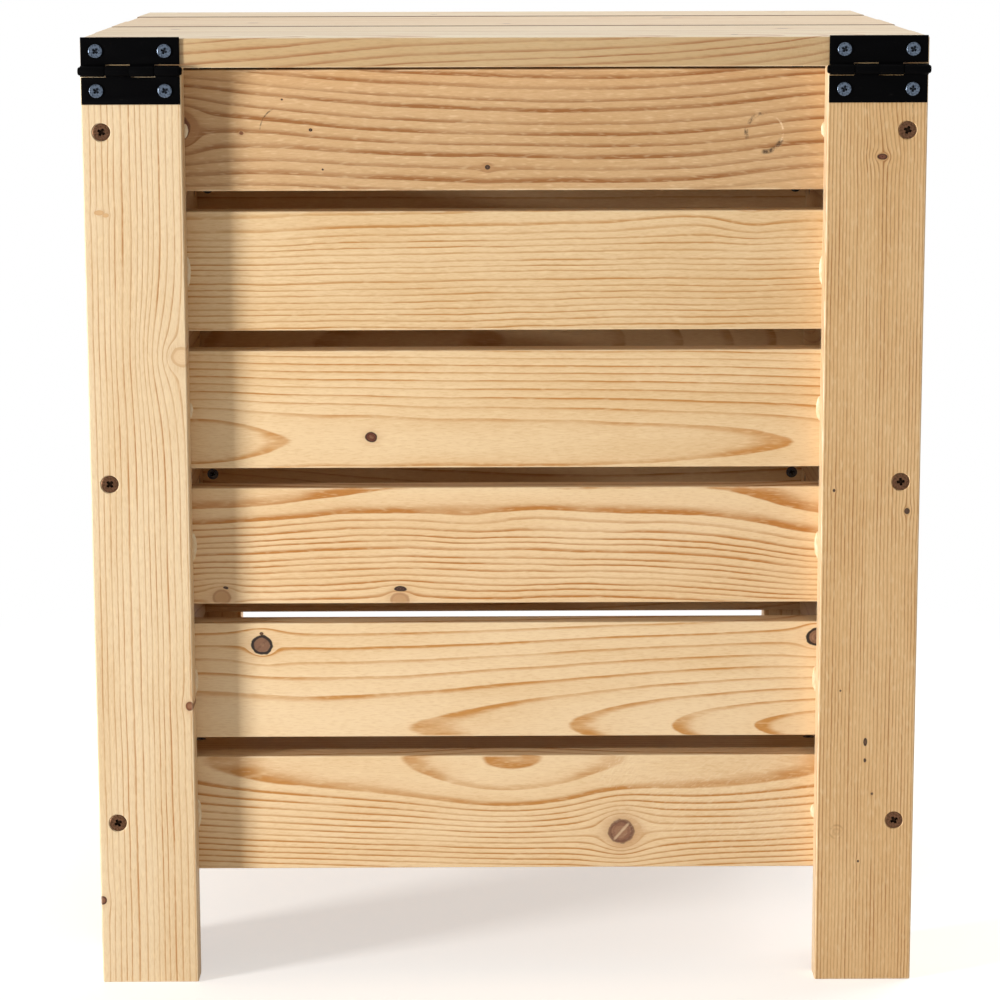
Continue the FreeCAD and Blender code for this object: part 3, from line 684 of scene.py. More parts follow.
@dataclass(frozen=True)
class Torn(Mark):
    """A patch of fibres that the planer tore up, with painted glints on the lifted ones, in millimetres
    from the board's middle and in radians.
    """

    along: float
    across: float
    length: float
    height: float
    turn: float
    share: float = 0.5


@dataclass(frozen=True)
class SideTone:
    """How one narrow side of a board differs from its faces: a tint (painted light on a lit side, painted
    shade on a shaded one), which side, and its reach.
    """

    tone: Colour = WHITE
    way: float = 1.0
    reach: float = 0.3


# Painted light: a paler, cooler tint on the right rear leg's inner side, where the window light falls on
# it.
SUNLIT_SIDE = SideTone((1.0, 1.14, 1.42, 1.0))
# Painted shade: darkens the rear side of the lid's edge plank.
SHADED_EDGE_SIDE = SideTone((0.70, 0.575, 0.415, 1.0), way=-1.0)
# Painted shade and dirt: a dark band along each lid plank's rear side, where its open seam lies in shadow
# and gathers dirt.
SEAM_SHADE_AND_DIRT = SideTone((0.20, 0.13, 0.09, 1.0), way=-1.0, reach=1.1)

EARLY = srgb(240, 211, 168)
LATE = srgb(192, 136, 74)


@dataclass(frozen=True)
class Log(Mark):
    """How a board was cut from its log: where the pith runs and how the rings stand, in millimetres."""

    pith_across: float
    pith_depth: float
    spacing: float
    slope_across: float = 0.0
    slope_depth: float = 0.0
    bow: float = 0.0
    bow_at: float = 0.0
    phase: float = 0.0
    heart_radius: float = 0.0
    heart_spacing: float = 5.0
    uneven: float = 0.4
    wobble: float = 2.5
    fibre: float = 0.12
    band: float = 0.25
    glow: float = 0.28


@dataclass(frozen=True)
class Softwood:
    """The finish of one board, or of a course of stock boards where it has no log of its own."""

    RELIEF_DEPTH = 0.12 * MM
    AGED = srgb(222, 184, 136)
    AGED_SHARE = 0.55
    name: str
    seed: float
    half_size: Triple
    log: Log | None = None
    early: Colour = EARLY
    late: Colour = LATE
    contrast: float = 0.9
    knots: tuple[Knot, ...] = ()
    bends: tuple[Bend, ...] = ()
    scuffs: tuple[Scuff, ...] = ()
    torn: tuple[Torn, ...] = ()
    relief: float = 0.25
    specular: float = 0.35
    side: SideTone = SideTone()

    def material(self, groups: TimberGroups) -> bpy.types.Material:
        """Build the material.

        Args:
            groups: The shared timber groups.

        Returns:
            The material.
        """
        made, wires, shader = new_material(self.name, self.early)
        shader["Specular IOR Level"].default_value = self.specular
        start = wires.out("ShaderNodeAttribute", output="Vector", attribute_name=BOARD_AT)
        place = start
        for bend in self.bends:
            place = wires.group(groups.bend, Place=place, **bend.values())["Place"]
        flows = []
        for knot in self.knots:
            flow = wires.group(groups.knot, Place=place, **knot.values())
            flows.append((knot.kind, flow))
            place = flow["Place"]
        seed, early, log_values = self.log_values(wires, groups)
        rings = wires.group(groups.rings, Place=place, Seed=seed, Face=self.half_size[2], **log_values)
        planed = wires.group(groups.surface, Place=start, Seed=seed, Late=rings["Late"], Early_Color=early,
                             Late_Color=self.late, Contrast=self.contrast)
        colour = planed["Color"]
        for kind, flow in flows:
            masks = {label: flow[label] for label in ("Mask", "Rim", "Halo", "Rings", "Crack")}
            colour = wires.group(groups.knot_paint, Color=colour, **masks, **kind.paint())["Color"]
        for tree, marks in ((groups.scuff, self.scuffs), (groups.torn, self.torn)):
            for mark in marks:
                colour = wires.group(tree, Color=colour, Place=start, **mark.values())["Color"]
        # This group also paints the side tone: light on a lit side, shade on a shaded one.
        worn_and_side_shaded = wires.group(groups.wear, Color=colour, Roughness=planed["Roughness"], Place=start, Seed=seed,
                           Half_Size=self.half_size, Side_Tone=self.side.tone, Side_Way=self.side.way,
                           Side_Reach=self.side.reach)
        bump = wires.out("ShaderNodeBump", {"Strength": self.relief, "Distance": self.RELIEF_DEPTH,
                                            "Height": planed["Height"]})
        wires.feed(shader["Base Color"], worn_and_side_shaded["Color"])
        wires.feed(shader["Roughness"], worn_and_side_shaded["Roughness"])
        wires.feed(shader["Normal"], bump)
        return made

    def log_values(self, wires: Wiring, groups: TimberGroups) -> tuple[Any, Any, dict[str, Any]]:
        """Give the ring values of the board's own log, or draw them from the board's number.

        Args:
            wires: The material's wiring.
            groups: The shared timber groups.

        Returns:
            The seed, the earlywood colour and the ring group's values.
        """
        if self.log is not None:
            return self.seed, self.early, self.log.values()
        number = wires.out("ShaderNodeAttribute", output="Fac", attribute_name=BOARD_NUMBER)
        drawn = wires.group(groups.draw, Number=number, Seed=self.seed)
        early = wires.blend(wires.spread(drawn["Tone"], 0.0, self.AGED_SHARE), self.early, self.AGED)
        named = {label.replace(" ", "_"): drawn[label]
                 for label in ("Pith Across", "Pith Depth", "Bow", "Bow At", "Spacing")}
        return drawn["Seed"], early, named


class Facing(Enum):
    """How a board lies: which way its length, its width and its good face point."""

    REAR = ((1, 0, 0), (0, 0, 1), (0, -1, 0))
    FRONT = ((-1, 0, 0), (0, 0, 1), (0, 1, 0))
    LEFT = ((0, -1, 0), (0, 0, 1), (-1, 0, 0))
    RIGHT = ((0, 1, 0), (0, 0, 1), (1, 0, 0))
    UP = ((1, 0, 0), (0, 1, 0), (0, 0, 1))
    DOWN_DEEP = ((0, 1, 0), (1, 0, 0), (0, 0, -1))
    REAR_UPRIGHT = ((0, 0, 1), (-1, 0, 0), (0, -1, 0))
    FRONT_UPRIGHT = ((0, 0, 1), (1, 0, 0), (0, 1, 0))
    LEFT_UPRIGHT = ((0, 0, 1), (0, 1, 0), (-1, 0, 0))
    RIGHT_UPRIGHT = ((0, 0, 1), (0, -1, 0), (1, 0, 0))

    @property
    def axes(self) -> Matrix:
        """The three directions as the rows of a matrix."""
        return Matrix(self.value)


def middle_of(node: str) -> Vector:
    """Middle of a node's box."""
    low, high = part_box(node)
    return (low + high) / 2


def size_on(node: str, facing: Facing) -> Vector:
    """Length, width and thickness of a board in metres, by its node and how it lies."""
    low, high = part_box(node)
    return Vector([abs(part) for part in facing.axes @ (high - low)])


def half_in_mm(node: str, facing: Facing) -> Triple:
    """Half of a board's length, width and thickness in millimetres, by its node and how it lies."""
    size = size_on(node, facing) * PER_METRE / 2
    return (size.x, size.y, size.z)


def node_shape(node: str) -> bmesh.types.BMesh:
    """Copy a node's shape with its doubled points merged.

    Args:
        node: The node.

    Returns:
        The shape, which the caller frees.
    """
    shape = bmesh.new()
    shape.from_mesh(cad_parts[node].data)
    bmesh.ops.remove_doubles(shape, verts=shape.verts, dist=MERGE)
    return shape


def settle(piece: bpy.types.Object) -> bpy.types.Object:
    """Turn what a piece's modifiers make into its own plain mesh.

    Args:
        piece: The piece.

    Returns:
        The same piece without modifiers.
    """
    depsgraph = bpy.context.evaluated_depsgraph_get()
    mesh = bpy.data.meshes.new_from_object(piece.evaluated_get(depsgraph))
    old = piece.data
    piece.modifiers.clear()
    piece.data = mesh
    mesh.name = piece.name
    bpy.data.meshes.remove(old)
    return piece


def new_piece(name: str, mesh: bpy.types.Mesh) -> bpy.types.Object:
    """Put a mesh into the scene as a piece.

    Args:
        name: The piece's name.
        mesh: Its mesh.

    Returns:
        The piece.
    """
    piece = bpy.data.objects.new(name, mesh)
    bpy.context.scene.collection.objects.link(piece)
    return piece


def hand_over(piece: bpy.types.Object, body: str, nodes: Iterable[str]) -> bpy.types.Object:
    """Let a piece stand for its nodes and move with their body.

    Args:
        piece: The piece.
        body: The body it rides on.
        nodes: The nodes it stands for.

    Returns:
        The piece.
    """
    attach(piece, body)
    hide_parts(*nodes)
    log.info("%s: %d faces on %s", piece.name, len(piece.data.polygons), body)
    return piece


def run_nodes(piece: bpy.types.Object, tree: bpy.types.NodeTree,
              values: dict[str, Any]) -> bpy.types.Object:
    """Run a Geometry Nodes tree on a piece and keep the mesh that it makes.

    Args:
        piece: The piece that carries the tree's points.
        tree: The tree.
        values: The tree's inputs by name.

    Returns:
        The piece with its plain mesh.
    """
    modifier = piece.modifiers.new(tree.name, "NODES")
    sockets = {item.name: item.identifier for item in tree.interface.items_tree
               if item.item_type == "SOCKET" and item.in_out == "INPUT"}
    modifier.node_group = tree
    for name, value in values.items():
        modifier[sockets[name]] = value
    return settle(piece)


class TreeBench(Wiring):
    """A Geometry Nodes tree under construction."""

    KINDS = {int: "NodeSocketInt", float: "NodeSocketFloat", tuple: "NodeSocketVector"}

    def __init__(self, name: str, inputs: dict[str, Any]) -> None:
        """Open a tree that takes points and gives a mesh.

        Args:
            name: The tree's name.
            inputs: Its inputs with their usual values.
        """
        super().__init__(bpy.data.node_groups.new(name, "GeometryNodeTree"))
        self.tree.is_modifier = True
        face = self.tree.interface
        face.new_socket("Points", in_out="INPUT", socket_type="NodeSocketGeometry")
        for label, usual in inputs.items():
            socket = face.new_socket(label, in_out="INPUT", socket_type=self.KINDS[type(usual)])
            socket.default_value = usual
        face.new_socket("Geometry", in_out="OUTPUT", socket_type="NodeSocketGeometry")
        self.open_ends()

    def keep(self, geometry: Term, name: str, value: Term, kind: str, domain: str) -> Term:
        """Store a value as a named attribute of a kind and a domain."""
        values = {"Geometry": geometry, "Name": name, "Value": value}
        return self.out("GeometryNodeStoreNamedAttribute", values, data_type=kind, domain=domain)

    def keep_place(self, geometry: Term, name: str) -> Term:
        """Store where each point lies on its own piece, in millimetres."""
        at = self.out("GeometryNodeInputPosition") * (PER_METRE, PER_METRE, PER_METRE)
        return self.keep(geometry, name, at, "FLOAT_VECTOR", "POINT")

    def aim(self) -> Term:
        """The turn that leads a thing's upright along its point's heading."""
        heading = self.out("GeometryNodeInputNamedAttribute", {"Name": HEADING}, data_type="FLOAT_VECTOR")
        return self.out("FunctionNodeAlignRotationToVector", {"Vector": heading}, axis="Z")

    def random(self, least: Any, most: Any) -> Term:
        """Draw a vector between two others, from the tree's seed."""
        limits = {"Min": least, "Max": most, "Seed": self.given["Seed"]}
        return self.out("FunctionNodeRandomValue", limits, data_type="FLOAT_VECTOR")

    def shift(self, geometry: Term, way: str, value: Term) -> Term:
        """Move points, to a Position or by an Offset."""
        return self.out("GeometryNodeSetPosition", {"Geometry": geometry, way: value})

    def set_out(self, points: Term, thing: Term, way: str, value: Any) -> Term:
        """Set a thing on each point with a Rotation or a Scale."""
        return self.out("GeometryNodeInstanceOnPoints", {"Points": points, "Instance": thing, way: value})

    def lathe(self, top: Any, bottom: Any, depth: Any, level: Any, sides: int) -> Term:
        """A round tapered solid.

        Args:
            top: Radius at its upper end.
            bottom: Radius at its lower end.
            depth: Its length.
            level: Where its lower end lies.
            sides: Facets round it.

        Returns:
            The solid.
        """
        solid = self.out("GeometryNodeMeshCone", {"Vertices": sides, "Radius Top": top,
                                                  "Radius Bottom": bottom, "Depth": depth})
        lift = self.join(0.0, 0.0, level)
        return self.out("GeometryNodeTransform", {"Geometry": solid, "Translation": lift})

    def combine(self, operation: str, solids: Iterable[Term], base: Term | None = None) -> Term:
        """Unite solids, or take them out of a base.

        Args:
            operation: The name of the operation.
            solids: The solids.
            base: What they are taken out of.

        Returns:
            The result.
        """
        made = self.node("GeometryNodeMeshBoolean", operation=operation, solver="EXACT")
        if base is not None:
            self.feed(made.inputs["Mesh 1"], base)
        for solid in solids:
            self.feed(made.inputs["Mesh 2"], solid)
        return Term(self, made.outputs[0])

    def finish(self, instances: Term, materials: Sequence[bpy.types.Material]) -> None:
        """Realize the instances and give each board of a course its material.

        Args:
            instances: The instances.
            materials: One material for all, or one for each number in the course.
        """
        mesh = self.out("GeometryNodeRealizeInstances", {0: instances})
        number = self.out("GeometryNodeInputNamedAttribute", {"Name": BOARD_NUMBER}, data_type="FLOAT")
        for index, material in enumerate(materials):
            values = {"Geometry": mesh, "Material": material}
            if len(materials) > 1:
                values["Selection"] = self.math("GREATER_THAN", number, index - 0.5)
            mesh = self.out("GeometryNodeSetMaterial", values)
        self.feed(self.result["Geometry"], mesh)


class BoardTree(TreeBench):
    """A course of alike boards: rounded arrises, countersunk holes, one instance for each board."""

    ARRIS_STEPS = 3
    CELLS = (24, 4, 1)
    HOLE_SIDES = 28

    def __init__(self, name: str, materials: Sequence[bpy.types.Material]) -> None:
        """Build the tree.

        Args:
            name: The tree's name.
            materials: One material for all the boards, or one for each.
        """
        super().__init__(name, {"Length": 0.4, "Width": 0.06, "Thickness": 0.015, "Arris": 0.0008,
                                "Sink": 0.0075, "Count": 6, "Start": (0.0, 0.0, 0.0),
                                "Pitch": (0.0, 0.0, 0.07), "Turn": (0.0, 0.0, 0.0),
                                "Play": (0.0, 0.0, 0.0), "Seed": 4})
        board = self.keep_place(self.drilled(self.rounded_board()), BOARD_AT)
        row = self.out("GeometryNodeMeshLine", {"Count": self.given["Count"], "Offset": self.given["Pitch"],
                                                "Start Location": self.given["Start"]}, mode="OFFSET")
        room = self.given["Play"]
        loose = self.random(room * (-1.0, -1.0, -1.0), room * (1.0, 1.0, 0.0))
        row = self.shift(row, "Offset", loose)
        course = self.set_out(row, board, "Rotation", self.given["Turn"])
        index = self.out("GeometryNodeInputIndex")
        self.finish(self.keep(course, BOARD_NUMBER, index, "FLOAT", "INSTANCE"), materials)

    def rounded_board(self) -> Term:
        """A box whose grid is gathered along the arrises and rounded there.

        Returns:
            The board about its own middle.
        """
        steps = [cells + 2 * self.ARRIS_STEPS for cells in self.CELLS]
        counts = {f"Vertices {axis}": step + 1 for axis, step in zip("XYZ", steps)}
        grid = self.out("GeometryNodeMeshCube", {"Size": tuple(float(step) for step in steps), **counts})
        arris = self.given["Arris"]
        flat = self.join(self.given["Length"], self.given["Width"], self.given["Thickness"]) * HALF - arris
        cell = self.out("GeometryNodeInputPosition")
        away = self.vector("ABSOLUTE", cell)
        inner = tuple(cells / 2 for cells in self.CELLS)
        over = self.vector("MAXIMUM", away - inner, (0.0, 0.0, 0.0))
        share = self.vector("MINIMUM", away, inner) / inner
        edge = over / tuple(float(self.ARRIS_STEPS) for _ in inner)
        point = (share * flat + edge * arris) * self.vector("SIGN", cell)
        core = self.vector("MAXIMUM", self.vector("MINIMUM", point, flat), flat * (-1.0, -1.0, -1.0))
        return self.shift(grid, "Position", core + self.vector("NORMALIZE", point - core) * arris)

    def drilled(self, board: Term) -> Term:
        """Countersink the board at the points that the piece carries, each on the side it lies on.

        Args:
            board: The board.

        Returns:
            The drilled board.
        """
        radius = self.given["Sink"] * 0.5
        cutter = self.lathe(radius, 0.0, radius, radius * -1.0, self.HOLE_SIDES)
        holes = self.set_out(self.given["Points"], cutter, "Rotation", self.aim())
        return self.combine("DIFFERENCE", [self.out("GeometryNodeRealizeInstances", {0: holes})], board)


class ScrewTree(TreeBench):
    """Countersunk cross-recessed screws, one on each point, pointing along the point's heading."""

    SIDES = 28
    SHANK_SIDES = 12
    TAPER = 0.45
    CROWN = 0.93
    TIP = 2.5

    def __init__(self, name: str, material: bpy.types.Material) -> None:
        """Build the tree.

        Args:
            name: The tree's name.
            material: The screws' finish.
        """
        super().__init__(name, {"Head": 0.007, "Shank": 0.0035, "Length": 0.025, "Rim": 0.0003,
                                "Recess": 0.0042, "Slot": 0.0011, "Recess Depth": 0.0014, "Seed": 1})
        screw = self.keep_place(self.recessed(self.turned()), SCREW_AT)
        spin = self.out("FunctionNodeRandomValue", {2: 0.0, 3: math.pi / 2, "Seed": self.given["Seed"]}, 1,
                        data_type="FLOAT")
        twist = self.out("FunctionNodeAxisAngleToRotation", {"Axis": (0.0, 0.0, 1.0), "Angle": spin})
        turn = self.out("FunctionNodeRotateRotation", {0: self.aim(), 1: twist}, rotation_space="LOCAL")
        self.finish(self.set_out(self.given["Points"], screw, "Rotation", turn), [material])

    def turned(self) -> Term:
        """Head, shank and point in one solid with the head's top at the origin.

        Returns:
            The blank screw.
        """
        head = self.given["Head"] * 0.5
        shank = self.given["Shank"] * 0.5
        rim = self.given["Rim"] * -1.0
        half_rim = self.given["Rim"] * 0.5
        cone = head - shank
        neck = rim - cone
        point = self.given["Length"] * -1.0
        tip = shank * self.TIP
        shank_end = point + tip
        lap = half_rim * 0.5
        return self.combine("UNION", [
            self.lathe(head * self.CROWN, head, half_rim, half_rim * -1.0, self.SIDES),
            self.lathe(head, head, half_rim, rim, self.SIDES),
            self.lathe(head, shank, cone, neck, self.SIDES),
            self.lathe(shank, shank, neck + lap - shank_end, shank_end, self.SHANK_SIDES),
            self.lathe(shank, 0.0, tip, point, self.SHANK_SIDES)])

    def recessed(self, screw: Term) -> Term:
        """Press the tapering cross into the head.

        Args:
            screw: The blank screw.

        Returns:
            The screw with its recess.
        """
        tall = self.given["Recess Depth"] * 2.0
        span = (self.given["Recess"], self.given["Slot"])
        wings = []
        for long, wide in (span, span[::-1]):
            wing = self.out("GeometryNodeMeshCube", {"Size": self.join(long, wide, tall)})
            x, y, z = self.split(self.out("GeometryNodeInputPosition"))
            share = self.spread(self.math("LESS_THAN", z, 0.0), 1.0, self.TAPER)
            wings.append(self.shift(wing, "Position", self.join(x * share, y * share, z)))
        return self.combine("DIFFERENCE", wings, screw)


@dataclass(frozen=True)
class ScrewSpot:
    """Where one screw of a group sits: the top of its head, and the way its head faces."""

    top: Vector
    heading: Vector


@dataclass
class ScrewGroup:
    """The screws of one node, measured on the node itself."""

    node: str
    spots: list[ScrewSpot] = field(default_factory=list)
    head: float = 0.0
    length: float = 0.0

    def __post_init__(self) -> None:
        """Find the node's separate screws and measure them."""
        shape = node_shape(self.node)
        seen: set[bmesh.types.BMVert] = set()
        for start in shape.verts:
            if start in seen:
                continue
            island, edge = [], [start]
            seen.add(start)
            while edge:
                vert = edge.pop()
                island.append(tuple(vert.co))
                for link in vert.link_edges:
                    other = link.other_vert(vert)
                    if other not in seen:
                        seen.add(other)
                        edge.append(other)
            self.measure(np.array(island))
        shape.free()

    def measure(self, points: np.ndarray) -> None:
        """Add one screw from the points of its surface.

        Args:
            points: The points.
        """
        low, high = points.min(0), points.max(0)
        axis = int(np.argmax(high - low))
        others = [number for number in range(3) if number != axis]
        middle = (low + high) / 2
        reach = np.linalg.norm(points[:, others] - middle[others], axis=1)
        head_at = points[np.argmax(reach), axis]
        up = 1.0 if head_at > middle[axis] else -1.0
        top = Vector(middle)
        top[axis] = high[axis] if up > 0 else low[axis]
        heading = Vector((0.0, 0.0, 0.0))
        heading[axis] = up
        self.spots.append(ScrewSpot(top, heading))
        self.head = float((high - low)[others].max())
        self.length = float((high - low)[axis])


def point_mesh(name: str, spots: Sequence[ScrewSpot]) -> bpy.types.Mesh:
    """A mesh of loose points, each with its heading.

    Args:
        name: The mesh's name.
        spots: The points.

    Returns:
        The mesh.
    """
    mesh = bpy.data.meshes.new(name)
    mesh.from_pydata([tuple(spot.top) for spot in spots], [], [])
    headings = mesh.attributes.new(HEADING, "FLOAT_VECTOR", "POINT")
    headings.data.foreach_set("vector", [part for spot in spots for part in spot.heading])
    return mesh


@dataclass
class BoardCourse:
    """A course of alike boards that stand for as many nodes."""

    name: str
    nodes: list[str]
    facing: Facing
    body: str
    slot: str
    screws: ScrewGroup | None = None
    arris: float = 0.8 * MM
    sink_room: float = 0.4 * MM
    hole_room: float = 0.1 * MM
    proud: float = 0.02 * MM
    play: Triple = (0.0, 0.0, 0.0)

    def hole_points(self) -> list[ScrewSpot]:
        """Countersink places on one board, in its own axes, found from the screws in the first board.

        Returns:
            The places.
        """
        if self.screws is None:
            return []
        half = size_on(self.nodes[0], self.facing) / 2
        axes = self.facing.axes
        spots = []
        for screw in self.screws.spots:
            place = axes @ (screw.top - middle_of(self.nodes[0]))
            heading = axes @ screw.heading
            inside = all(abs(part) <= limit + self.hole_room for part, limit in zip(place, half))
            if inside and abs(heading.z) > 0.5:
                place.z = math.copysign(half.z, heading.z) + math.copysign(self.proud, heading.z)
                spots.append(ScrewSpot(place, heading))
        return spots

    def build(self, materials: Sequence[bpy.types.Material]) -> bpy.types.Object:
        """Saw, drill and set the boards.

        Args:
            materials: One material for all the boards, or one for each.

        Returns:
            The piece.
        """
        tree = BoardTree(self.name, materials).tree
        piece = new_piece(self.name, point_mesh(self.name, self.hole_points()))
        size = size_on(self.nodes[0], self.facing)
        start = middle_of(self.nodes[0])
        pitch = middle_of(self.nodes[1]) - start
        head = self.screws.head if self.screws else 0.0
        turn = self.facing.axes.transposed().to_euler()
        run_nodes(piece, tree, {"Length": size.x, "Width": size.y, "Thickness": size.z, "Arris": self.arris,
                                "Sink": head + self.sink_room, "Count": len(self.nodes), "Start": start,
                                "Pitch": pitch, "Turn": Vector(turn), "Play": Vector(self.play)})
        return hand_over(piece, self.body, self.nodes)


def board_copy(name: str, nodes: Sequence[str], facings: Sequence[Facing],
               materials: Sequence[bpy.types.Material]) -> bpy.types.Object:
    """Join copies of board nodes into one piece that knows where each point lies on its board.

    Args:
        name: The piece's name.
        nodes: The boards.
        facings: How each lies.
        materials: One material for all, or one for each.

    Returns:
        The piece.
    """
    whole = bmesh.new()
    at = whole.verts.layers.float_vector.new(BOARD_AT)
    number = whole.verts.layers.float.new(BOARD_NUMBER)
    for index, (node, facing) in enumerate(zip(nodes, facings)):
        first_vert, first_face = len(whole.verts), len(whole.faces)
        whole.from_mesh(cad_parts[node].data)
        whole.verts.ensure_lookup_table()
        whole.faces.ensure_lookup_table()
        middle = middle_of(node)
        for vert in whole.verts[first_vert:]:
            vert[at] = facing.axes @ (vert.co - middle) * PER_METRE
            vert[number] = index
        for face in whole.faces[first_face:]:
            face.material_index = index if len(materials) > 1 else 0
            face.smooth = False
    bmesh.ops.remove_doubles(whole, verts=whole.verts, dist=MERGE)
    mesh = bpy.data.meshes.new(name)
    whole.to_mesh(mesh)
    whole.free()
    mesh.materials.clear()
    for material in materials:
        mesh.materials.append(material)
    return new_piece(name, mesh)


@dataclass
class SlatWalls:
    """The four slatted walls: six slats each, the rear ones with grain of their own."""

    COURSES = 6
    slot: str = "slat_softwood"
    body: str = "box"

    def names(self, wall: str) -> list[str]:
        """Nodes of one wall from the top course down."""
        return [f"slat_{wall}_{course}" for course in range(1, self.COURSES + 1)]

    def rear_finishes(self) -> list[Softwood]:
        """Grain of the six rear slats from the top down.

        Returns:
            The finishes.
        """
        half = half_in_mm("slat_rear_1", Facing.REAR)
        # The top slat's early colour is darker than the others', in part painted shade from the lid above
        # it.
        return [Softwood("slat_wide_wave", 1.0, half, early=srgb(214, 178, 134), late=srgb(158, 106, 58),
                         contrast=1.05,
                         log=Log(84.0, 10.0, 5.9, uneven=0.3, wobble=3.4, band=0.42, glow=0.42),
                         bends=(Bend(172.0, 2.0, 62.0, 70.0, 9.0), Bend(-172.0, 10.0, 105.0, 70.0, 10.0)),
                         knots=(Knot(-8.8, -19.8, 1.2, KnotKind.PITCH, reach=3.0),
                                Knot(-99.5, -5.8, 0.8, KnotKind.PITCH),
                                Knot(-135.0, -9.8, 0.9, KnotKind.TIGHT),
                                Knot(-114.0, 8.5, 0.5, KnotKind.PITCH),
                                Knot(-93.5, -24.7, 0.5, KnotKind.PITCH),
                                Knot(-167.0, -8.5, 6.4, KnotKind.TIGHT, stretch=0.9, reach=1.9)),
                         scuffs=(Scuff(-111.7, -1.0, 14.0, 2.0, 0.4, 2.65, 0.62),
                                 Scuff(133.5, -1.5, 9.5, 5.0, 1.0, 2.5, 1.1, share=0.9),
                                 Scuff(133.5, -2.5, 9.0, 7.0, 1.3, -0.9, 0.9, share=0.9),
                                 Scuff(133.5, -1.5, 9.5, 9.0, 0.5, 0.2, 0.8, ink=srgb(246, 222, 184)))),
                Softwood("slat_fine_line", 2.0, half, early=srgb(235, 206, 163), late=srgb(198, 144, 82),
                         contrast=1.1,
                         log=Log(62.0, 8.0, 3.4, slope_across=0.008, heart_radius=44.0, heart_spacing=5.4,
                                 uneven=0.5, wobble=5.0, fibre=0.08, band=0.30),
                         bends=(Bend(90.0, 26.0, 30.0, 8.0, 2.8), Bend(127.0, 25.0, 14.0, 7.0, -2.6),
                                Bend(-150.0, 20.0, 60.0, 14.0, -2.4))),
                Softwood("slat_long_flame", 3.0, half, late=srgb(200, 142, 76), contrast=1.0,
                         log=Log(-17.5, 25.9, 3.26, slope_across=-0.006, phase=0.12, uneven=0.0, wobble=1.8,
                                 fibre=0.10, band=0.25, glow=0.45),
                         bends=(Bend(-164.0, -17.0, 35.0, 60.0, rise=3.2),
                                Bend(260.0, -17.0, 130.0, 60.0, rise=-6.7),
                                Bend(-105.0, -1.0, 50.0, 9.0, 2.0)),
                         knots=(Knot(-70.0, -14.8, 2.6, KnotKind.RED, stretch=1.2, reach=0.8),)),
                Softwood("slat_brown_wave", 4.0, half, early=srgb(243, 214, 172), late=srgb(190, 128, 62),
                         contrast=0.95,
                         log=Log(36.0, 18.0, 3.3, heart_radius=27.3, heart_spacing=10.0, uneven=0.5,
                                 wobble=5.4, fibre=0.12, band=0.40, glow=0.55),
                         bends=(Bend(-72.0, 2.0, 40.0, 30.0, 2.0), Bend(166.0, -12.0, 62.0, 26.0, -8.0),
                                Bend(-20.0, 14.0, 22.0, 8.0, -2.0), Bend(14.0, 17.0, 34.0, 7.0, 3.0),
                                Bend(-190.0, 30.0, 90.0, 60.0, rise=12.0),
                                Bend(190.0, 30.0, 50.0, 40.0, rise=12.0)),
                         knots=(Knot(-149.5, -27.4, 4.2, KnotKind.CUT),
                                Knot(-147.2, -25.8, 1.2, KnotKind.PITCH, reach=0.0),
                                Knot(-55.8, -30.0, 4.0, KnotKind.CUT, stretch=1.3),
                                Knot(-55.4, -27.0, 2.0, KnotKind.PITCH, stretch=1.6, reach=0.3))),
                Softwood("slat_row_of_tips", 5.0, half, early=srgb(244, 217, 177), late=srgb(200, 142, 74),
                         contrast=1.05,
                         log=Log(-25.0, 30.0, 6.0, bow=-2.7, bow_at=-140.0, phase=0.35, uneven=0.0,
                                 wobble=2.2, band=0.24), bends=(Bend(-160.0, -4.0, 50.0, 26.0, 4.0),),
                         knots=(Knot(-128.8, 24.6, 0.9, KnotKind.PITCH, reach=0.0),
                                Knot(-128.8, 18.0, 5.7, KnotKind.BARKED, stretch=1.0),
                                Knot(164.5, 22.5, 5.0, KnotKind.BARKED))),
                Softwood("slat_big_flame", 6.0, half, early=srgb(243, 215, 174), late=srgb(194, 136, 70),
                         contrast=1.05,
                         log=Log(29.0, 23.5, 2.75, bow=2.6, bow_at=10.0, heart_radius=31.2,
                                 heart_spacing=7.6, uneven=0.0, wobble=1.8, fibre=0.10, band=0.34,
                                 glow=0.50), bends=(Bend(3.0, 29.0, 42.0, 60.0, rise=9.0),),
                         knots=(Knot(61.5, -11.2, 6.8, KnotKind.SPLIT, stretch=1.0, reach=1.6),),
                         torn=(Torn(118.0, 4.0, 74.0, 34.0, -0.5, 0.16),
                               Torn(60.0, 21.0, 14.0, 12.0, -0.9, 0.2)))]

    def build(self, groups: TimberGroups, screws: dict[str, ScrewGroup]) -> None:
        """Build all four walls.

        Args:
            groups: The shared timber groups.
            screws: The measured screw groups by node.
        """
        rear = [finish.material(groups) for finish in self.rear_finishes()]
        BoardCourse("rear_slats", self.names("rear"), Facing.REAR, self.body, self.slot,
                    screws["slat_screws_rear"]).build(rear)
        for seed, facing in enumerate((Facing.FRONT, Facing.LEFT, Facing.RIGHT), start=1):
            wall = facing.name.lower()
            group = screws["slat_screws_front" if facing is Facing.FRONT else "slat_screws_sides"]
            half = half_in_mm(f"slat_{wall}_1", facing)
            stock = Softwood(f"slat_stock_{wall}", 20.0 * seed, half, contrast=0.85)
            BoardCourse(f"{wall}_slats", self.names(wall), facing, self.body, self.slot,
                        group).build([stock.material(groups)])


